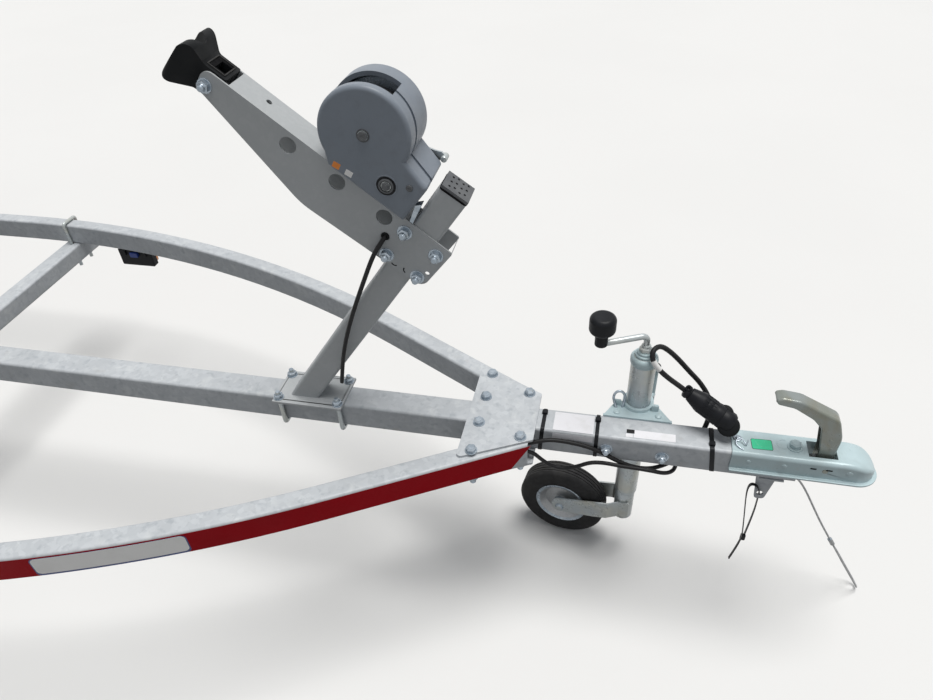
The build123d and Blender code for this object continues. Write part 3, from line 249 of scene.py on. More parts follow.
paint("paper_label", (0.74, 0.74, 0.77), 0.5).layer(
    (0.6, 0.6, 0.6), 40, 0.52, 0.72, 0.4, detail=8).layer(
    (0.52, 0.5, 0.5), 12, 0.58, 0.78, 0.35, detail=9, stretch=(0.5, 3, 1)).rough(60, 0.5, 0.7).bump(
    90, 0.1, 0.0004)
paint("blue_film", (0.012, 0.03, 0.16), 0.4).layer((0.03, 0.06, 0.22), 60, 0.45, 0.7, 0.5).rough(
    50, 0.32, 0.48)
paint("green_film", (0.02, 0.5, 0.24), 0.42).layer(
    (0.05, 0.62, 0.36), 50, 0.42, 0.7, 0.6, detail=6).layer(
    (0.35, 0.6, 0.48), 150, 0.6, 0.78, 0.4).rough(70, 0.34, 0.5)
paint("dark_film", (0.02, 0.07, 0.05), 0.45).layer((0.05, 0.12, 0.09), 70, 0.45, 0.7, 0.5).rough(
    70, 0.38, 0.5)
paint("black_film", (0.01, 0.01, 0.011), 0.5, specular=0.2).layer(
    (0.05, 0.05, 0.052), 90, 0.5, 0.75, 0.5).rough(70, 0.42, 0.6)
paint("orange_film", (0.8, 0.24, 0.03), 0.42).layer((0.9, 0.34, 0.06), 120, 0.42, 0.66, 0.5).rough(
    90, 0.36, 0.5)
paint("blue_plastic", (0.01, 0.04, 0.24), 0.4).layer((0.03, 0.08, 0.32), 80, 0.45, 0.7, 0.5).rough(
    90, 0.34, 0.5)
# Painted shade: a near-black paint on thin discs and slabs that stand in for the shade inside holes, slots,
# seams and the bow stop's pocket
paint("painted_gap_shade", (0.006, 0.006, 0.007), 0.8, specular=0.05).layer(
    (0.02, 0.02, 0.02), 90, 0.45, 0.7, 0.5).bump(300, 0.2, 0.0003)


# Making pieces. Every piece is drawn in one bmesh, which mesh_piece() empties for the next.

bm = bmesh.new()


def finish_piece(obj, material, body=BODY):
    """Paint a piece and tie it to a body. Its slot follows its paint."""
    obj.data.materials.clear()
    obj.data.materials.append(paints[material])
    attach(obj, body)
    return obj


def mesh_piece(name, material, body=BODY, angle=35):
    """Close the drawn bmesh into a named piece, with edges sharper than an angle kept sharp."""
    bmesh.ops.recalc_face_normals(bm, faces=bm.faces)
    mesh = bpy.data.meshes.new(name)
    bm.to_mesh(mesh)
    bm.clear()
    mesh.shade_smooth()
    mesh.set_sharp_from_angle(angle=math.radians(angle))
    obj = bpy.data.objects.new(name, mesh)
    bpy.context.scene.collection.objects.link(obj)
    return finish_piece(obj, material, body)


def vertices(matrix, points):
    return [bm.verts.new(matrix @ Vector(point)) for point in points]


def bridge(loops, closed=False):
    """Faces between neighbouring loops of one length. closed joins the last loop to the first too."""
    for a, b in zip(loops, loops[1:] + loops[:1] if closed else loops[1:]):
        for i in range(len(a)):
            j = (i + 1) % len(a)
            bm.faces.new((a[i], a[j], b[j], b[i]))


def solid(loops):
    """A closed body through loops of one length, with a face on each end."""
    bridge(loops)
    bm.faces.new(loops[0])
    bm.faces.new(loops[-1])


def polar(radius, angle, height):
    return radius * math.cos(angle), radius * math.sin(angle), height


def circle(radius, height, count):
    return [polar(radius, 2 * math.pi * i / count, height) for i in range(count)]


def lathe(matrix, rings, count=24, ends=True):
    """Turn (radius, height) rings about the matrix's local z. A ring of no radius is one point."""
    loops = [vertices(matrix, circle(radius, height, count) if radius else [(0, 0, height)])
             for radius, height in rings]
    for low, high in zip(loops, loops[1:]):
        for i in range(count):
            j = (i + 1) % count
            corners = [low[i % len(low)], low[j % len(low)], high[j % len(high)], high[i % len(high)]]
            unique = list(dict.fromkeys(corners))
            if len(unique) > 2:
                bm.faces.new(unique)
    if ends:
        for loop in (loops[0], loops[-1]):
            if len(loop) > 2:
                bm.faces.new(loop)
    return loops


def slab(matrix, outline, low, high, bevel=0.0):
    """A plate with a drawn outline, between two heights, its top edge cut back by a small bevel."""
    middle = sum((Vector(p) for p in outline), Vector((0, 0))) / len(outline)
    rings = [(outline, low), (outline, high - bevel)]
    if bevel:
        rings.append(([Vector(p) + (middle - Vector(p)).normalized() * bevel for p in outline], high))
    solid([vertices(matrix, [(x, y, height) for x, y in points]) for points, height in rings])


def round_rectangle(width, height, radius, steps=5, centre=(0, 0)):
    points = []
    for turn, (sx, sy) in enumerate(((1, 1), (-1, 1), (-1, -1), (1, -1))):
        cx = centre[0] + sx * (width / 2 - radius)
        cy = centre[1] + sy * (height / 2 - radius)
        for step in range(steps + 1):
            a = math.pi / 2 * (turn + step / steps)
            points.append((cx + radius * math.cos(a), cy + radius * math.sin(a)))
    return points


def hexagon(matrix, across, low, high):
    radius = across / 2 / math.cos(math.pi / 6)
    chamfer = min(0.12 * across, 0.3 * (high - low))
    lathe(matrix, [(radius, low), (radius, high - chamfer), (radius - 1.3 * chamfer, high)], 6)


WASHER_THICK, THREAD_PITCH, THREAD_DEPTH = 2.0, 1.5, 0.55


def on_washer(at, z, across, height, washer, turn):
    """A washer with a hexagon on it. Returns the place and the height of the hexagon's top."""
    matrix = place(at, z) @ Matrix.Rotation(turn, 4, "Z")
    lathe(matrix, [(washer, 0), (washer, WASHER_THICK - 0.4), (washer - 0.5, WASHER_THICK)], 28)
    top = WASHER_THICK + height
    hexagon(matrix, across, WASHER_THICK, top)
    return matrix, top


def bolt_head(at, z, across=17.0, head=8.0, washer=12.0, turn=0.0):
    """Hexagon head on a washer. at is on the surface that it presses on, z points away from it."""
    matrix, top = on_washer(at, z, across, head, washer, turn)
    lathe(matrix, [(across * 0.38, top - 0.3), (across * 0.34, top + 0.5), (0, top + 0.9)], 20)


def nut(at, z, across=17.0, height=8.0, washer=11.0, thread=6.0, radius=5.0, turn=0.0):
    """Nut on a washer, with the thread standing proud of it."""
    matrix, top = on_washer(at, z, across, height, washer, turn)
    lathe(matrix, [(across * 0.4, top - 0.2), (across * 0.36, top + 1.4)], 20)
    rings, z_now = [], top
    while z_now < top + thread - 1.6:
        rings += [(radius, z_now), (radius - THREAD_DEPTH, z_now + THREAD_PITCH / 2)]
        z_now += THREAD_PITCH
    lathe(matrix, rings + [(radius, z_now), (radius - 1.2, z_now + 1.2), (0, z_now + 1.25)], 16)


def nurbs_data(name, points, radius):
    curve = bpy.data.curves.new(name, "CURVE")
    curve.dimensions = "3D"
    curve.bevel_depth = radius / 1000
    curve.bevel_resolution = 5
    curve.resolution_u = 14
    curve.use_fill_caps = True
    spline = curve.splines.new("NURBS")
    spline.points.add(len(points) - 1)
    for control, point in zip(spline.points, points):
        control.co = (*P(*point), 1)
    spline.order_u = 3
    spline.use_endpoint_u = True
    return curve


def sample(points, count=8):
    """Points along a smooth NURBS line through the scene, as Blender evaluates the curve."""
    curve = nurbs_data("line", points, 0)
    curve.resolution_u = count
    obj = bpy.data.objects.new("line", curve)
    bpy.context.scene.collection.objects.link(obj)
    bpy.context.view_layer.update()
    mesh = bpy.data.meshes.new_from_object(obj.evaluated_get(bpy.context.evaluated_depsgraph_get()))
    line = [vertex.co.copy() for vertex in mesh.vertices]
    bpy.data.objects.remove(obj)
    bpy.data.curves.remove(curve)
    bpy.data.meshes.remove(mesh)
    return line


def along_line(line):
    """Each point of a sampled line with the direction there."""
    for index, point in enumerate(line):
        yield point, (line[min(index + 1, len(line) - 1)] - line[max(index - 1, 0)]).normalized()


def line_piece(name, points, radius, material):
    obj = bpy.data.objects.new(name, nurbs_data(name, points, radius))
    bpy.context.scene.collection.objects.link(obj)
    return finish_piece(obj, material)


# The winch arm's own frame: u runs down along its top face, v stands square to it

ARM_PITCH = math.radians(39)
ARM_U = Vector((math.cos(ARM_PITCH), 0, -math.sin(ARM_PITCH)))
ARM_V = Vector((math.sin(ARM_PITCH), 0, math.cos(ARM_PITCH)))
ARM_ORIGIN = Vector((-473, 0, 1097))
ARM_FACE = 28.3


def arm(u, v, y=0.0):
    return tuple(ARM_ORIGIN + ARM_U * u + ARM_V * v + Vector((0, y, 0)))


def arm_side(u, v, y, toward=-1):
    """A place on the arm's or the winch's side, its local z out of the side and its local x along u."""
    return place(arm(u, v, y), (0, toward, 0), ARM_U)


# Cords and leads

grommet = arm(320, -51, -ARM_FACE)
routes = {
    "wiring_lead": [
        (-22, -52, 421), (2, -45, 426), (30, -37.5, 429), (64, -36, 427), (98, -36, 422), (128, -36, 411),
        (158, -36.5, 393), (192, -36, 379), (226, -30, 373), (256, -14, 374), (281, 9, 374),
        (302, 31.5, 378), (316, 41, 397), (321, 42, 424),
    ],
    "slack_lead": [
        (-22, -58, 411), (-2, -53, 404), (13, -50, 385), (30, -47, 367), (56, -46, 359), (84, -46, 369),
        (110, -46, 388), (138, -46, 392), (168, -45.5, 388), (200, -46, 388), (230, -45, 385),
        (250, -41, 378), (265, -31, 372), (274, -18, 371), (274, -18, 387),
    ],
    "plug_lead": [
        (321, 42, 424), (325, 42.8, 445.6), (330, 62, 463), (323, 82, 481), (304, 92, 504), (280, 91, 530),
        (258, 87, 558), (236, 82, 583), (217, 73, 601), (203, 56, 601), (205, 45, 585), (221, 44, 564),
        (241, 49, 542), (259.6, 49.4, 528), (271.5, 45.2, 522),
    ],
    "safety_wire": [
        (478, 0, 384.8), (490, 0, 376), (508, 1, 360), (527, 3, 330), (550, 6, 287), (582, 12, 227),
        (611.4, 17.35, 177.3),
    ],
    "hanging_cord": [
        (grommet[0], grommet[1] + 2, grommet[2]), (grommet[0] - 4, grommet[1] - 9, grommet[2] - 6),
        (grommet[0] - 21, grommet[1] - 13, grommet[2] - 30), (-305, -43, 764), (-328, -42, 712),
        (-348, -41, 662), (-364, -40, 614), (-377, -39, 566), (-386, -38, 520),
    ],
}
cord_diameters = {
    "wiring_lead": 8.5, "slack_lead": 8.0, "plug_lead": 10.0, "safety_wire": 4.0, "hanging_cord": 8.0,
}
for cord_name, diameter in cord_diameters.items():
    cord_material = "wire_rope" if cord_name == "safety_wire" else "cable_sheath"
    line_piece(cord_name + "_line", routes[cord_name], diameter / 2, cord_material)
    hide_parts(cord_name)

# Cable tie through the safety bracket: a flat band along its loop

tie_line = sample([
    (422, -15, 106), (437, -9, 166), (432, -10, 210), (425, -10, 262), (417, -9, 322), (420, -8, 345),
    (434, -8, 341), (443, -6, 318), (445, 6, 308), (447, 8, 282), (447, 4, 240), (441, -3, 178),
], 6)
TIE_HALF_WIDTH, TIE_HALF_THICK = 0.0032, 0.0008
rows = []
for point, along in along_line(tie_line):
    broad = (Vector(LEFT) - along * along.y).normalized() * TIE_HALF_WIDTH
    thin = along.cross(broad).normalized() * TIE_HALF_THICK
    rows.append([bm.verts.new(point + corner) for corner in (
        -broad - thin, broad - thin, broad + thin, thin - broad)])
solid(rows)
slab(place((438.5, -6, 166)), round_rectangle(10, 8, 2), 1, 15, 1.2)
cable_tie = mesh_piece("tie_band", "black_plastic")
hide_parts("cable_tie")

# Plug with its lid closed: sleeve with rings, barrel, collar and two-lobed lid

PLUG_TAIL, PLUG_NOSE = Vector((271.5, 45.2, 522.0)), Vector((366.0, 12.0, 474.5))
plug_axis = PLUG_NOSE - PLUG_TAIL
plug_length = plug_axis.length
plug_place = place(PLUG_TAIL, plug_axis, UP)
lathe(plug_place, [
    (6.2, 0), (9.5, 0.4), (12.2, 2), (13, 5), (13, 9), (11.6, 10), (11.6, 11.5), (13.4, 12.5), (15.5, 20),
    (18.2, 30), (20.2, 36), (20.2, 46), (19.6, 47), (20.2, 48), (20.2, 56), (19.6, 57), (20.2, 58),
    (20.2, 66), (20.8, 69), (21.4, 74), (21.4, 80), (20.4, 80.8), (20.4, 82.4), (21, 83.2),
    (21, plug_length - 9), (18, plug_length - 4), (0, plug_length - 3),
], 48)
PLUG_RIBS = 16
for turn in range(PLUG_RIBS):
    rib = plug_place @ Matrix.Rotation(2 * math.pi * turn / PLUG_RIBS, 4, "Z")
    slab(rib @ Matrix.Translation((20, 0, 38)) @ Matrix.Rotation(math.pi / 2, 4, "Y"),
         round_rectangle(26, 2.2, 1, 3, (-13, 0)), -0.6, 0.7, 0.3)
LID_SIDE = (-0.2, -0.7, 0.68)
ring = place(PLUG_TAIL + plug_axis * 0.02 + Vector((4, -6, 12)), LID_SIDE)
lathe(ring, [(2.4, -4), (5.8, -4), (6.2, 0), (5.4, 1.4), (2.8, 1.4), (2.4, 0.6)], 24, False)
plug = mesh_piece("plug_body", "black_plastic", angle=40)
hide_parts("plug")
for at, radius, rise in (((357, 10, 475), 20.5, 13), ((349, 27, 491), 15.5, 12)):
    lathe(place(at, LID_SIDE), [
        (0, rise), (radius - 6, rise - 0.2), (radius - 2.5, rise - 1.4), (radius - 0.6, rise - 3.6),
        (radius, rise - 7), (radius, rise - 13), (radius - 1, rise - 13.6), (radius - 1, rise - 16),
        (radius - 4, rise - 24), (0, rise - 24)], 40)
lid = mesh_piece("plug_lid", "black_rubber")

# Tag round the plug's lead, where it comes down behind the jockey tube

TAG_RADIUS = 0.0056
tag_low, tag_high = P(206, 0, 555), P(221, 0, 590)
tag_line = [point for point in sample(routes["plug_lead"])
            if tag_low.x < point.x < tag_high.x and tag_low.z < point.z < tag_high.z]
solid([vertices(Matrix.Translation(point) @ along.to_track_quat("Z", "Y").to_matrix().to_4x4(),
                circle(TAG_RADIUS, 0, 16)) for point, along in along_line(tag_line)])
tag = mesh_piece("lead_tag", "white_film")

# Bright ferrule at the safety wire's end

wire_end, eye_foot = Vector(routes["safety_wire"][-1]), Vector((714, 36, 4))
lathe(place(wire_end, eye_foot - wire_end, (0.2, -1, 0)), [
    (2.4, -1), (3.9, -0.6), (4.4, 0.6), (4.4, 5), (3.9, 6), (4.4, 7), (4.4, 13), (3.9, 14), (4.4, 15),
    (4.4, 19.4), (3.8, 20.4), (2.2, 20.8)])
ferrule = mesh_piece("eye_ferrule", "bolt_zinc")

# Finish of the CAD nodes

node_paint = {part["node"]: part["material_slot"] for part in frame["record"]["subparts"]}
for node in ("winch_arm", "winch_post", "base_plate", "bunk_posts", "mudguard_stays", "light_board_arms"):
    node_paint[node] = "plain_galvanised"
node_paint["coupling_body"] = node_paint["jockey_clamp"] = "coupling_zinc"
node_paint["coupling_lever"] = "lever_zinc"
node_paint["post_cap"] = "cap_grey"
softened = {
    "front_plates": 1.0, "winch_arm": 0.8, "base_plate": 1.0, "coupling_body": 0.7, "jockey_clamp": 0.8,
    "mudguards": 0.8, "bunks": 5.0, "light_board": 3.0, "marker_housings": 4.0,
    "marker_lenses": 4.0, "post_cap": 1.5, "keel_brackets": 0.8, "axle_pads": 1.0, "mudguard_stays": 0.8,
    "safety_bracket": 0.8, "number_plate": 0.6, "jockey_fork": 0.8, "swing_arms": 2.0, "winch_crank": 1.2,
    "bow_stop": 1.5,
}
for node, obj in frame["nodes"].items():
    obj.data.materials.clear()
    obj.data.materials.append(paints[node_paint[node]])
    if softened.get(node):
        weld = obj.modifiers.new("weld", "WELD")
        weld.merge_threshold = 0.00002
        bevel = obj.modifiers.new("bevel", "BEVEL")
        bevel.width = softened[node] / 1000
        bevel.segments = 2 if softened[node] < 2 else 3
        bevel.limit_method = "ANGLE"
        bevel.angle_limit = math.radians(40)
        bevel.harden_normals = False

# Red stripe along both side rails, and the blank label on it

SPLAY = math.tan(math.radians(29.5))
RAIL_Y, BEND_RADIUS, BEND_REAR, BEND_FRONT, NOSE_Y = 615.0, 2650.0, -1659.2, -354.2, 71.0
BOTH_SIDES = (("left", 1), ("right", -1))
RIGHT_SIDE = (("right", -1),)


def rail_y(x):
    """The y of the left rail's outer face at a place x."""
    if x >= BEND_FRONT:
        return NOSE_Y - x * SPLAY
    if x <= BEND_REAR:
        return RAIL_Y
    return RAIL_Y - BEND_RADIUS + math.sqrt(BEND_RADIUS ** 2 - (x - BEND_REAR) ** 2)


def rail_point(x, z, lift):
    """A point above the rail's outer face."""
    slope = (rail_y(x - 1) - rail_y(x + 1)) / 2
    out = Vector((slope, 1, 0)).normalized() * lift
    return (x + out.x, rail_y(x) + out.y, z)


def rail_film(name, columns, lift, thick, material, sides=RIGHT_SIDE):
    """A thin film on a rail. columns are (x at the top, x at the foot, z at the top, z at the foot)."""
    for side_name, side_sign in sides:
        solid([[bm.verts.new(P(x, side_sign * y, z)) for x, y, z in (
            rail_point(x_top, z_top, lift), rail_point(x_foot, z_foot, lift),
            rail_point(x_foot, z_foot, lift + thick), rail_point(x_top, z_top, lift + thick))]
            for x_top, x_foot, z_top, z_foot in columns])
        mesh_piece(name + "_" + side_name, material)


STRIPE_TOP, STRIPE_FOOT = 442.5, 391.5
stripe = [(-3, -38, STRIPE_TOP, STRIPE_FOOT)]
stripe += [(-x, -x - 35 * max(0.0, 1 - x / 300), STRIPE_TOP, STRIPE_FOOT) for x in range(60, 4360, 50)]
rail_film("stripe", stripe, 0.05, 0.25, "red_film", BOTH_SIDES)


def rounded_columns(x_front, x_rear, top, foot, radius, steps=6):
    """Columns of a label with rounded corners, from its front end to its rear end."""
    front = []
    for step in range(steps + 1):
        a = math.pi / 2 * step / steps
        x, drop = x_front - radius * (1 - math.cos(a)), radius * (1 - math.sin(a))
        front.append((x, x, top - drop, foot + drop))
    middle = [(x, x, top, foot) for x in range(int(x_front - radius) - 20, int(x_rear + radius), -20)]
    rear = [(x_rear + x_front - x, x_rear + x_front - x, t, f) for x, _, t, f in reversed(front)]
    return front + middle + rear


rail_film("label", rounded_columns(-566, -812, 439.5, 391.8, 9), 0.35, 0.2, "blue_film")
rail_film("label_face", rounded_columns(-568, -810, 438.8, 396.5, 9), 0.6, 0.2, "white_film")

# Labels on the drawbar

TUBE_TOP, TUBE_HALF = 447.0, 30.0
slab(place((72, -2, TUBE_TOP)), round_rectangle(78, 50, 1.5), 0.02, 0.2)
slab(place((72, -TUBE_HALF, 434), RIGHT), round_rectangle(78, 14, 1), 0.02, 0.2)
mesh_piece("paper_label", "paper_label")
slab(place((226, -12, TUBE_TOP)), round_rectangle(78, 20, 1), 0.02, 0.18)
slab(place((179, -18, TUBE_TOP)), round_rectangle(13, 9, 1), 0.02, 0.18)
mesh_piece("strip_label", "paper_label")
slab(place((181, -7, TUBE_TOP)), round_rectangle(15, 10, 0.6), 0.02, 0.24)
mesh_piece("strip_block", "black_film")

# Bands round the drawbar


def band(x_top, x_foot, width, thick=1.3):
    """A flat tie tight round the square tube, leaning from its top place to its foot place."""
    inner, outer = (round_rectangle(2 * reach, 2 * reach, reach - TUBE_HALF + 6)
                    for reach in (TUBE_HALF + 0.1, TUBE_HALF + thick))
    loops = []
    for ring, edge in ((inner, -0.5), (outer, -0.42), (outer, 0.42), (inner, 0.5)):
        loops.append([])
        for y, z in ring:
            share = (z + TUBE_HALF) / (2 * TUBE_HALF)
            x = x_foot + (x_top - x_foot) * share + edge * width
            loops[-1].append(bm.verts.new(P(x, y, TUBE_TOP - TUBE_HALF + z)))
    bridge(loops, closed=True)


for x, x_foot, y, width in ((13, 9, 16, 8), (118, 118, 12, 7.5), (331, 339, -16, 9)):
    band(x, x_foot, width)
    slab(place((x, y, TUBE_TOP + 1)), round_rectangle(11, 10, 1.8), 0, 5, 0.8)
mesh_piece("drawbar_ties", "black_plastic")

# Bolts and nuts of the frame, and a painted shade disc for the hole in the drawbar's side

PLATE_TOP, PLATE_FOOT = 452.0, 382.0
BASE_TOP, BOLT_FOOT, PAD_FOOT, BUNK_BOLTS_Z = 453.0, 337.0, 379.0, 362.0
LEG_OUT, RAIL_WIDTH = 5.8, 40.0
AXLE_X = -2763.0
for x, y in ((-111, 108), (-111, 37), (-111, -37), (-111, -112), (-25, 62), (-25, -62)):
    bolt_head((x, y, PLATE_TOP), UP, 18, turn=x + y)
    nut((x, y, PLATE_FOOT), DOWN, 18, 9, 12, 9, 6, turn=y)
for x, z in ((138, 415), (244, 412)):
    nut((x, -TUBE_HALF, z), RIGHT, washer=13, thread=5.5, turn=x)
    bolt_head((x, 35, z), LEFT, head=7, turn=x)
tube_legs = (-TUBE_HALF - LEG_OUT, TUBE_HALF + LEG_OUT)
for x in (-538, -408):
    for y in tube_legs:
        nut((x, y, BASE_TOP), UP, thread=7, turn=x + y)
for x in (-1505, -2400, -3300, -4230):
    for y in tube_legs:
        nut((x, y, BOLT_FOOT), DOWN, thread=14, turn=y)
    for y in (rail_y(x) - RAIL_WIDTH - LEG_OUT, rail_y(x) + LEG_OUT):
        for side_sign in (-1, 1):
            nut((x, side_sign * y, BOLT_FOOT), DOWN, thread=14, turn=y)
for x in (AXLE_X - 48, AXLE_X + 48):
    for y in (-595, 595):
        nut((x, y, PAD_FOOT), DOWN, turn=x)
for x in (-2335, -3235):
    for y in (-430, 430):
        bolt_head((x, y, BUNK_BOLTS_Z), FRONT, washer=11, turn=y)
        nut((x - 90, y, BUNK_BOLTS_Z), BACK, turn=y)
mesh_piece("frame_bolts", "bolt_zinc")

# The hole is a thin near-black disc: painted shade
lathe(place((37, -TUBE_HALF, 421), RIGHT), [(5, -0.2), (5, 0.15), (0, 0.16)], 20)
mesh_piece("drawbar_hole", "painted_gap_shade")

# Winch arm's bolts

for u in (341, 405):
    for v in (-22, -80):
        nut(arm(u, v, -ARM_FACE), RIGHT, height=9, washer=13, thread=7, turn=u + v)
        bolt_head(arm(u, v, ARM_FACE), LEFT, turn=u)
nut(arm(-30, -25, -ARM_FACE), RIGHT, height=9, washer=12, turn=0.3)
bolt_head(arm(-30, -25, ARM_FACE), LEFT)
mesh_piece("arm_bolts", "bolt_zinc")

# Bow stop: a rim round a pocket, with painted shade strips along three of its sides


def stop_bars(name, bars, low, high, material):
    """Bars on the bow stop's top, each from u_low to u_high and from y_low to y_high."""
    for u_low, u_high, y_low, y_high in bars:
        matrix = place(arm((u_low + u_high) / 2, STOP_TOP, (y_low + y_high) / 2), ARM_V, ARM_U)
        slab(matrix, round_rectangle(u_high - u_low, y_high - y_low, 0.6, 3), low, high, min(0.5, high / 3))
    mesh_piece(name, material)


STOP_TOP = 3.0
stop_bars("stop_rim", [(-43, -41, -19, 19), (-14, -12, -19, 19), (-41, -14, -19, -17), (-41, -14, 17, 19)],
          -0.3, 1.8, "tyre_rubber")
stop_bars("stop_pocket", [(-41, -32, -17, 17), (-32, -14, -17, -12), (-32, -14, 12, 17)],
          -0.2, 0.12, "painted_gap_shade")

# Two curved slots, drawn as painted shade, and the grommet in the arm's side

for u, v, lean in ((360, -82, 0.5), (385, -81, -0.5)):
    matrix = arm_side(u, v, -ARM_FACE)
    angles = [math.pi * (1.15 + 0.5 * step / 8) + lean for step in range(9)]
    solid([vertices(matrix, [polar(radius, a, height) for radius, height in (
        (8, -0.2), (5.8, -0.2), (5.8, 0.12), (8, 0.12))]) for a in angles])
mesh_piece("arm_slots", "painted_gap_shade")

lathe(place(grommet, RIGHT), [(4.2, -3), (4.2, 1.8), (5, 2.4), (6.4, 2), (7.2, 1), (7.2, 0)], 28)
mesh_piece("grommet", "black_rubber")

# Winch: ends of its shaft, pinion and pin, two small squares, the ratchet's lever and plate, the drum's edge

WINCH_NEAR = -50.0
FLANGE = 62.4
shaft, pinion, pin = (arm_side(u, v, WINCH_NEAR) for u, v in ((202, 87), (272, 42), (302, 64)))
lathe(shaft, [(10.5, -0.5), (10.5, 0.5), (9.8, 0.9), (8.9, 0.3)], 32)
lathe(shaft, [(7.6, 0), (7.6, 3.4), (6.8, 4.2), (3.2, 4.3), (2.8, 3.7), (0, 3.6)], 28)
lathe(pinion, [(12.2, 0), (12.2, 2.2), (11.4, 2.8), (9.4, 2.8), (9, 1.4)], 36)
hexagon(pinion, 13, 1, 4.6)
lathe(pinion, [(5, 4.4), (4.6, 6.2), (0, 6.4)], 20)
lathe(pin, [(5.6, -0.4), (5.6, 1.2), (4.8, 2.2), (2.4, 2.3), (2, 1.6), (0, 1.6)])
mesh_piece("winch_bolts", "cap_grey")
lathe(shaft, [(8.9, -0.5), (8.9, 0.25), (7.4, 0.25), (7.4, -0.5)], 32, False)
lathe(pinion, [(9.2, 0), (9.2, 1.6), (7.2, 1.6), (7.2, 0)], 32, False)
lathe(pinion, [(15.8, -0.5), (15.8, 0.25), (12.4, 0.25), (12.4, -0.5)], 36, False)
mesh_piece("winch_rings", "black_plastic")
lathe(pinion, [(18.5, -0.5), (18.5, 0.5), (17.5, 0.9), (16.6, 0.9), (15.8, 0.4)], 40, False)
mesh_piece("winch_boss", "grey_plastic")
for name, colour, u, v in (("square_one", "orange_film", 194, 17), ("square_two", "white_film", 216, 19)):
    slab(arm_side(u, v, WINCH_NEAR) @ Matrix.Rotation(0.15, 4, "Z"),
         round_rectangle(12, 10, 0.8, 3), -0.1, 0.18)
    mesh_piece(name, colour)

lever = arm_side(300, 74, 54, 1)
slab(lever, [(-8, -8), (-10, 8), (8, 11), (15, -2), (27, -8), (28, -15), (14, -17), (4, -12)], 0, 5, 1)
lathe(lever @ Matrix.Translation((23, -12, 2)), [
    (0, -10), (4.6, -9.6), (5.6, -8), (5.6, 7), (4.6, 8.4), (0, 8.8)], 20)
hexagon(lever, 11, 5, 10)
mesh_piece("ratchet_lever", "zinc_plated_steel")
slab(arm_side(0, 0, -ARM_FACE, 1), [(327, -31), (334.5, -40), (342, -1), (336, -1)], 0.5, 15)
mesh_piece("winch_foot", "bolt_zinc")
lathe(arm_side(203, 88, 22), [
    (FLANGE - 2.4, -0.8), (FLANGE - 0.6, -0.8), (FLANGE, 0), (FLANGE - 0.6, 0.8), (FLANGE - 2.4, 0.8),
    (30, 0.4), (30, -0.4)], 72, False)
mesh_piece("drum_flange", "bolt_zinc")
slab(arm_side(254, 50, 50, 1), round_rectangle(142, 62, 14, 6), 0.1, 3.2, 0.6)
mesh_piece("ratchet_plate", "black_plastic")

# Post: painted shade in the seam under its cap and in the small holes in the cap's top, measured along the
# leaning post

POST_LEAN = math.radians(36)
CAP_TOP = 600
post_z = Vector((math.sin(POST_LEAN), 0, math.cos(POST_LEAN)))
post_x = Vector((math.cos(POST_LEAN), 0, -math.sin(POST_LEAN)))
post_place = place((-485.5, 0, BASE_TOP), post_z, post_x)
outer, inner = round_rectangle(51.4, 51.4, 6.4), round_rectangle(50.1, 50.1, 6)
bridge([vertices(post_place, [(x, y, height) for x, y in points])
        for points, height in ((inner, 591.4), (outer, 591.8), (outer, 595), (inner, 595.2))])
for x, shift in ((-14, 0), (-5, 4), (5, 0), (14, 4)):
    for y in (-15, 0, 15):
        hole = post_place @ Matrix.Translation((x, y + shift, CAP_TOP))
        lathe(hole, [(2.1, -0.3), (2.1, 0.25), (0, 0.3)], 12)
mesh_piece("cap_seam", "painted_gap_shade")

# Coupling: bolt, rivets, label, painted shade for the slots in its sides, a raised arc, and the clip behind
# it

COUPLING_TOP, COUPLING_SIDE = 450.5, 33.8
ARC_RADIUS, ARC_STEPS = 11.5, 14


def rivet(at, radius, foot, shoulder, crown, top, count):
    """A rivet's round head on a side face, its foot just inside the surface that at is on."""
    lathe(place(at, (0, at[1], 0)), [
        (radius, foot), (radius * 0.9, shoulder), (radius * 0.5, crown), (0, top)], count)


matrix = place((478, 0, COUPLING_TOP))
lathe(matrix, [(14, 0), (14, 1.4), (13.3, 2)], 32)
hexagon(matrix @ Matrix.Rotation(0.4, 4, "Z"), 19, 2, 12)
lathe(matrix, [(7.4, 11.8), (6.8, 12.4), (0, 12.6)])
for x, z, radius in ((397, 432, 4.2), (460, 431, 5), (571, 431, 6)):
    for y in (-COUPLING_SIDE, COUPLING_SIDE):
        rivet((x, y, z), radius, -0.3, 0.8, 1.5, 1.7, 20)
mesh_piece("coupling_bolts", "coupling_zinc")
label_place = place((419.7, -3.8, COUPLING_TOP), x=(1, 0.04, 0))
slab(label_place, round_rectangle(38, 27, 3.5, 4), 0.02, 0.14)
mesh_piece("green_border", "dark_film")
slab(label_place, round_rectangle(35.6, 24.6, 2.6, 4), 0.1, 0.24)
mesh_piece("green_label", "green_film")
# The slots in the sides are thin near-black slabs: painted shade
for x, long in ((509, 11), (536, 12)):
    for y in (-COUPLING_SIDE, COUPLING_SIDE):
        slab(place((x, y, 434), (0, y, 0)), round_rectangle(long, 3.4, 1.5, 3), -0.2, 0.14)
mesh_piece("coupling_slots", "painted_gap_shade")

matrix = place((459, 3, COUPLING_TOP))
rows = []
for step in range(ARC_STEPS + 1):
    a = math.radians(70 + 220 * step / ARC_STEPS)
    half_width = 1.6 * math.sin(math.pi * step / ARC_STEPS)
    rows.append(vertices(matrix, [polar(ARC_RADIUS + across * half_width, a, height) for across, height in (
        (-1, -0.05), (-0.5, 0.55), (0, 0.75), (0.5, 0.55), (1, -0.05))]))
for a, b in zip(rows, rows[1:]):
    for i in range(4):
        bm.faces.new((a[i], a[i + 1], b[i + 1], b[i]))
bmesh.ops.remove_doubles(bm, verts=bm.verts, dist=1e-6)
mesh_piece("coupling_arc", "coupling_zinc")

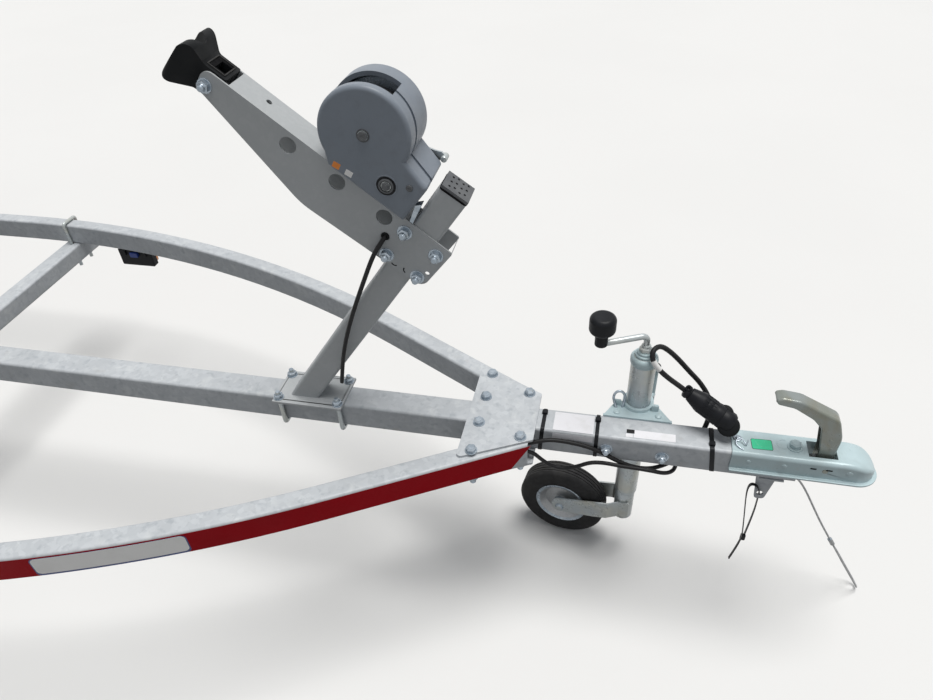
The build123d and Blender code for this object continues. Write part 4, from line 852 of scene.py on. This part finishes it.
line_piece("coupling_clip", [
    (386, -24, 451.4), (378, -20, 452), (372, -12, 455), (374, -4, 459), (381, -2, 460), (387, -7, 457),
    (390, -14, 454), (393, -8, 452.4), (396, 2, 452),
], 1.1, "bolt_zinc")
washer_place = place((377, 5, COUPLING_TOP))
lathe(washer_place, [(8, 0), (8, 1.3), (7.2, 1.8), (4.2, 1.8), (4, 1)], 28)
lathe(washer_place, [(3.6, 0), (3.6, 4.2), (2.8, 5), (0, 5.2)], 20)
mesh_piece("clip_washer", "bolt_zinc")

# Spring inside the coupling's slot, and rivets on the lever

for ring in range(9):
    coil = place((503 + 2.16 * ring, -6, 437 + 0.4 * ring), (1, 0, 0.2))
    lathe(coil, [(4.6, 0), (5.4, 0.6), (4.6, 1.2)], 18)
mesh_piece("lever_spring", "wire_rope", "coupling_lever")
for x, z in ((532, 470), (528, 490)):
    for y in (-14, 14):
        rivet((x, y, z), 3.4, -0.4, 0.6, 1.2, 1.3, 18)
mesh_piece("lever_rivets", "lever_zinc", "coupling_lever")

# Jockey wheel: crank nut, rings on the tube's top and the knob, clamp eye, lugs and rivets

JX, JY = 192.0, 72.0
CLAMP_TOP = 451
matrix = place((JX, JY, 585))
hexagon(matrix, 21, 0.4, 12)
lathe(matrix, [(8.5, 12), (8.2, 15.5), (7, 16.5)])
mesh_piece("crank_nut", "zinc_plated_steel", "jockey_crank")
lathe(place((JX, JY, 0)), [
    (24.1, 557), (25.4, 557.6), (26.1, 560), (26.5, 563), (26.4, 568), (25.6, 571.5), (23.6, 574.4),
    (20.6, 575.8), (20.4, 574.6), (19, 574.6), (19, 579.6), (17.8, 580.8), (15.4, 581.2), (15.4, 584.6),
    (14.2, 585.8), (8, 586),
], 48, False)
mesh_piece("tube_collar", "coupling_zinc")
knob = place((109.2, 37.2, 684))
lathe(knob, [(6.5, -1), (7.5, 0.05), (9.5, 0.05), (10.5, -1)], 32, False)
lathe(knob, [(14.6, -2), (15.4, -0.5), (17, -0.7), (18, -2.4)], 36, False)
mesh_piece("knob_rings", "black_plastic", "jockey_crank")
line_piece("clamp_eye", [
    (150, 52, 450), (146, 56, 458), (142, 60, 472), (148, 63, 484), (160, 64, 484), (166, 62, 472),
    (164, 58, 460), (162, 55, 450),
], 2.6, "bolt_zinc")
for x, y in ((152, 60), (225, 54)):
    slab(place((x, y, CLAMP_TOP)), round_rectangle(14, 4.5, 1.2), 0, 13, 0.8)
for x, y in ((232, 38), (152, 38)):
    lathe(place((x, y, CLAMP_TOP)), [(6.5, 0), (6.3, 1.6), (4.6, 3), (0, 3.6)])
mesh_piece("clamp_rivets", "coupling_zinc")

# Jockey wheel: fork nuts, ribbed tyre and rim lips. The fork trails behind its leg, turned a little

SWIVEL = math.radians(-9.7)
fork_x = Vector((math.cos(SWIVEL), math.sin(SWIVEL), 0))
fork_y = Vector((-math.sin(SWIVEL), math.cos(SWIVEL), 0))
axle_at = Vector((JX, JY, 100)) - fork_x * 140
for sign in (-1, 1):
    matrix = place(axle_at + fork_y * 34 * sign, fork_y * sign)
    lathe(matrix, [(10, 0), (10, 1.2), (9.4, 1.6)], 28)
    hexagon(matrix, 15, 1.6, 4.6)
mesh_piece("fork_nuts", "bolt_zinc", "jockey_fork")

wheel = place(axle_at, fork_y, UP)
profile = [
    (58, -20), (60, -22.6), (66, -23.4), (74, -23.8), (80, -24), (86, -23.8), (91, -23.2), (94.5, -22),
    (97.5, -19.6), (99.2, -17),
]
ribs = []
for low, high in ((-17, -12.6), (-11, -5.2), (-3.2, 3.2), (5.2, 11), (12.6, 17)):
    ribs += [(96.6, low - 0.2), (99.9, low + 0.2), (99.9, high - 0.2), (96.6, high + 0.2)]
loops = lathe(wheel, profile + ribs[1:-1] + [(r, -h) for r, h in reversed(profile)], 64, False)
bridge([loops[0], loops[-1]])
jockey_tyre = mesh_piece("jockey_tyre_ribbed", "tyre_rubber", "jockey_wheel", angle=32)
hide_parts("jockey_tyre")
for sign in (-1, 1):
    for lip, count in (([(52, 22), (56, 23.4), (58.5, 24.6), (59.6, 24), (59.6, 21.5)], 56),
                       ([(17.4, 17), (18.5, 21), (17.4, 25.5), (14, 28.4), (8, 28.8)], 36)):
        lathe(wheel, [(radius, across * sign) for radius, across in lip], count, False)
mesh_piece("jockey_lips", "bolt_zinc", "jockey_wheel")

# Road wheels: treaded tyres, studs and valves

HUB_X, WHEEL_Z, WHEEL_Y = -2892.6, 273.5, 728.0
STUD_CIRCLE, VALVE_CIRCLE = 50, 140
TYRE_STEPS = 144
PLAIN, OUTER, INNER = "plain", "outer blocks", "inner blocks"


def tread_tyre(side_name, side_sign):
    """A road tyre: rings of (radius, place across, kind), with every fourth step of a block ring cut in."""
    matrix = place((HUB_X, side_sign * WHEEL_Y, WHEEL_Z), (0, side_sign, 0))
    wall = [
        (171.6, 64), (174, 70), (182, 73.5), (196, 76.6), (214, 77.8), (228, 76.8), (240, 73.6), (250, 69),
        (257, 64), (262.5, 58.5),
    ]
    tread = [
        (266.6, 54, OUTER), (269.2, 45, OUTER), (269.8, 36.4, OUTER), (264.4, 35.6, PLAIN),
        (264.4, 32.4, PLAIN), (271.6, 31.6, INNER), (272.6, 22, INNER), (272.9, 13.6, INNER),
        (265.4, 12.8, PLAIN), (265.4, 9.2, PLAIN), (273, 8.4, PLAIN), (273.2, 0, PLAIN),
    ]
    half = [(radius, across, PLAIN) for radius, across in wall] + tread
    loops = []
    for radius, across, kind in half + [(r, -w, k) for r, w, k in reversed(half[:-1])]:
        first, cut = {PLAIN: (0, 0), OUTER: (0, 6.5), INNER: (3 if across > 0 else 1, 5.5)}[kind]
        lean = 0 if kind == PLAIN else across / 90
        loops.append(vertices(matrix, [
            polar(radius - (cut if i % 4 == first else 0), 2 * math.pi * (i + lean) / TYRE_STEPS, across)
            for i in range(TYRE_STEPS)]))
    bridge(loops, closed=True)
    tyre = mesh_piece("tyre_treaded_" + side_name, "tyre_rubber", "wheel_" + side_name, angle=30)
    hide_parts("tyre_" + side_name)


for side_name, side_sign in BOTH_SIDES:
    tread_tyre(side_name, side_sign)
    body = "wheel_" + side_name
    for stud in range(4):
        x, z, _ = polar(STUD_CIRCLE, math.radians(90 * stud + 45), 0)
        matrix = place((HUB_X + x, side_sign * (WHEEL_Y + 33.5), WHEEL_Z + z), (0, side_sign, 0))
        lathe(matrix, [(10.5, -0.2), (11, 1), (10, 3.5), (9.4, 4.2)])
        hexagon(matrix, 17, 4, 15)
        lathe(matrix, [(6.8, 14.8), (5.8, 16.2), (0, 16.6)], 18)
    mesh_piece("wheel_bolts_" + side_name, "bolt_zinc", body)
    x, z, _ = polar(VALVE_CIRCLE, math.radians(75), 0)
    matrix = place((HUB_X + x, side_sign * (WHEEL_Y + 20), WHEEL_Z + z), (0, side_sign, 0))
    lathe(matrix, [(6, -4), (6, 2), (4.4, 5), (3.6, 16), (3.9, 17), (3.9, 26), (3, 27), (0, 27.2)], 18)
    mesh_piece("valve_" + side_name, "black_rubber", body)

# Mudguard bolts, roller pins' ends, the rear lamps and the number plate's screws

MUDGUARD_RADIUS = 331
for offset in (-230, 230):
    rise = math.sqrt(MUDGUARD_RADIUS ** 2 - offset ** 2)
    for y in (-780, -690, 690, 780):
        bolt_head((HUB_X + offset, y, WHEEL_Z + rise), (offset, 0, rise), 13, 5, 10, turn=y)
for x in (-1700, -2560, -3450, -4310):
    for sign in (-1, 1):
        matrix = place((x, sign * 71, 513), (0, sign, 0))
        lathe(matrix, [(14, 0), (14, 1.6), (13.2, 2.2)], 28)
        hexagon(matrix, 24, 2.2, 5.8)
mesh_piece("rear_bolts", "bolt_zinc")

BOARD_Z = 450
for side_name, side_sign in BOTH_SIDES:
    back = place((-4642, side_sign * 540, BOARD_Z), BACK, (0, side_sign, 0))
    slab(back, round_rectangle(138, 92, 8), 0, 9, 1.5)
    housing = mesh_piece("lamp_base_" + side_name, "black_plastic")
    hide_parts("tail_lamps")
    for part, material, centre_y, width in (
        ("indicator", "amber_lens", 46, 36), ("stop", "red_lens", 4, 46), ("reverse", "clear_lens", -30, 20),
        ("fog", "red_lens", -54, 26),
    ):
        slab(back, round_rectangle(width, 82, 5, 5, (centre_y, 0)), 8, 28.5, 5)
        mesh_piece(part + "_" + side_name, material)
for y in (-190, 190):
    lathe(place((-4644, y, BOARD_Z - 36), BACK), [(5, 0), (4.6, 1.6), (2, 2.4), (0, 2.5)], 18)
mesh_piece("plate_screws", "bolt_zinc")

# Side marker lamps' connectors and clips, on their inner side

for end_name, marker_x in (("front_", -1290), ("rear_", -3650)):
    for side_name, side_sign in BOTH_SIDES:
        matrix = place((marker_x, side_sign * (rail_y(marker_x) - 30), 372), (0, -side_sign, 0))
        slab(matrix, round_rectangle(26, 15, 2.5), -1, 9, 1.2)
        mesh_piece("marker_connector_" + end_name + side_name, "blue_plastic")
        for x in (-34, 34):
            slab(matrix, round_rectangle(11, 22, 2.5, 5, (x, 5)), -1, 5, 1)
        mesh_piece("marker_clips_" + end_name + side_name, "black_plastic")

# Floor, world and lamps

bmesh.ops.create_grid(bm, x_segments=2, y_segments=2, size=40)
floor_mesh = bpy.data.meshes.new("floor")
bm.to_mesh(floor_mesh)
bm.free()
floor = bpy.data.objects.new("floor", floor_mesh)
floor.location.z = -0.0005
bpy.context.scene.collection.objects.link(floor)
ground = Paint("floor_paint", (0.74, 0.74, 0.735), 0.9, specular=0.1)
ground.layer((0.72, 0.72, 0.715), 0.8, 0.4, 0.6, 0.5)
ground_path = ground.tree.nodes.new("ShaderNodeLightPath")
ground_mix = ground.tree.nodes.new("ShaderNodeMix")
ground_mix.data_type = "RGBA"
ground_mix.inputs["B"].default_value = (0.2, 0.2, 0.2, 1)
ground.tree.links.new(ground_path.outputs["Is Diffuse Ray"], ground_mix.inputs["Factor"])
ground.tree.links.new(ground.color, ground_mix.inputs["A"])
ground.tree.links.new(ground_mix.outputs["Result"], ground.shader.inputs["Base Color"])
floor_mesh.materials.append(ground.material)

world = bpy.data.worlds.new("world")
bpy.context.scene.world = world
world.use_nodes = True
nodes, links = world.node_tree.nodes, world.node_tree.links
plain = nodes["Background"]
plain.inputs["Color"].default_value = (0.93, 0.96, 1, 1)
plain.inputs["Strength"].default_value = 0.29
seen = nodes.new("ShaderNodeBackground")
seen.inputs["Color"].default_value = (1, 1, 1, 1)
seen.inputs["Strength"].default_value = 1
path = nodes.new("ShaderNodeLightPath")
either, bright = nodes.new("ShaderNodeMath"), nodes.new("ShaderNodeMath")
either.operation = bright.operation = "MAXIMUM"
links.new(path.outputs["Is Camera Ray"], either.inputs[0])
links.new(path.outputs["Is Transmission Ray"], either.inputs[1])
links.new(either.outputs[0], bright.inputs[0])
links.new(path.outputs["Is Glossy Ray"], bright.inputs[1])
mix = nodes.new("ShaderNodeMixShader")
links.new(bright.outputs[0], mix.inputs["Fac"])
links.new(plain.outputs["Background"], mix.inputs[1])
links.new(seen.outputs["Background"], mix.inputs[2])
links.new(mix.outputs["Shader"], nodes["World Output"].inputs["Surface"])

SUN_DIRECTION = (-0.16, -0.06, -1)
sun_data = bpy.data.lights.new("sun", "SUN")
sun_data.energy = 3.05
sun_data.angle = math.radians(35)
sun_data.color = (1, 0.985, 0.96)
sun = bpy.data.objects.new("sun", sun_data)
sun.rotation_euler = Vector(SUN_DIRECTION).to_track_quat("-Z", "Y").to_euler()
bpy.context.scene.collection.objects.link(sun)
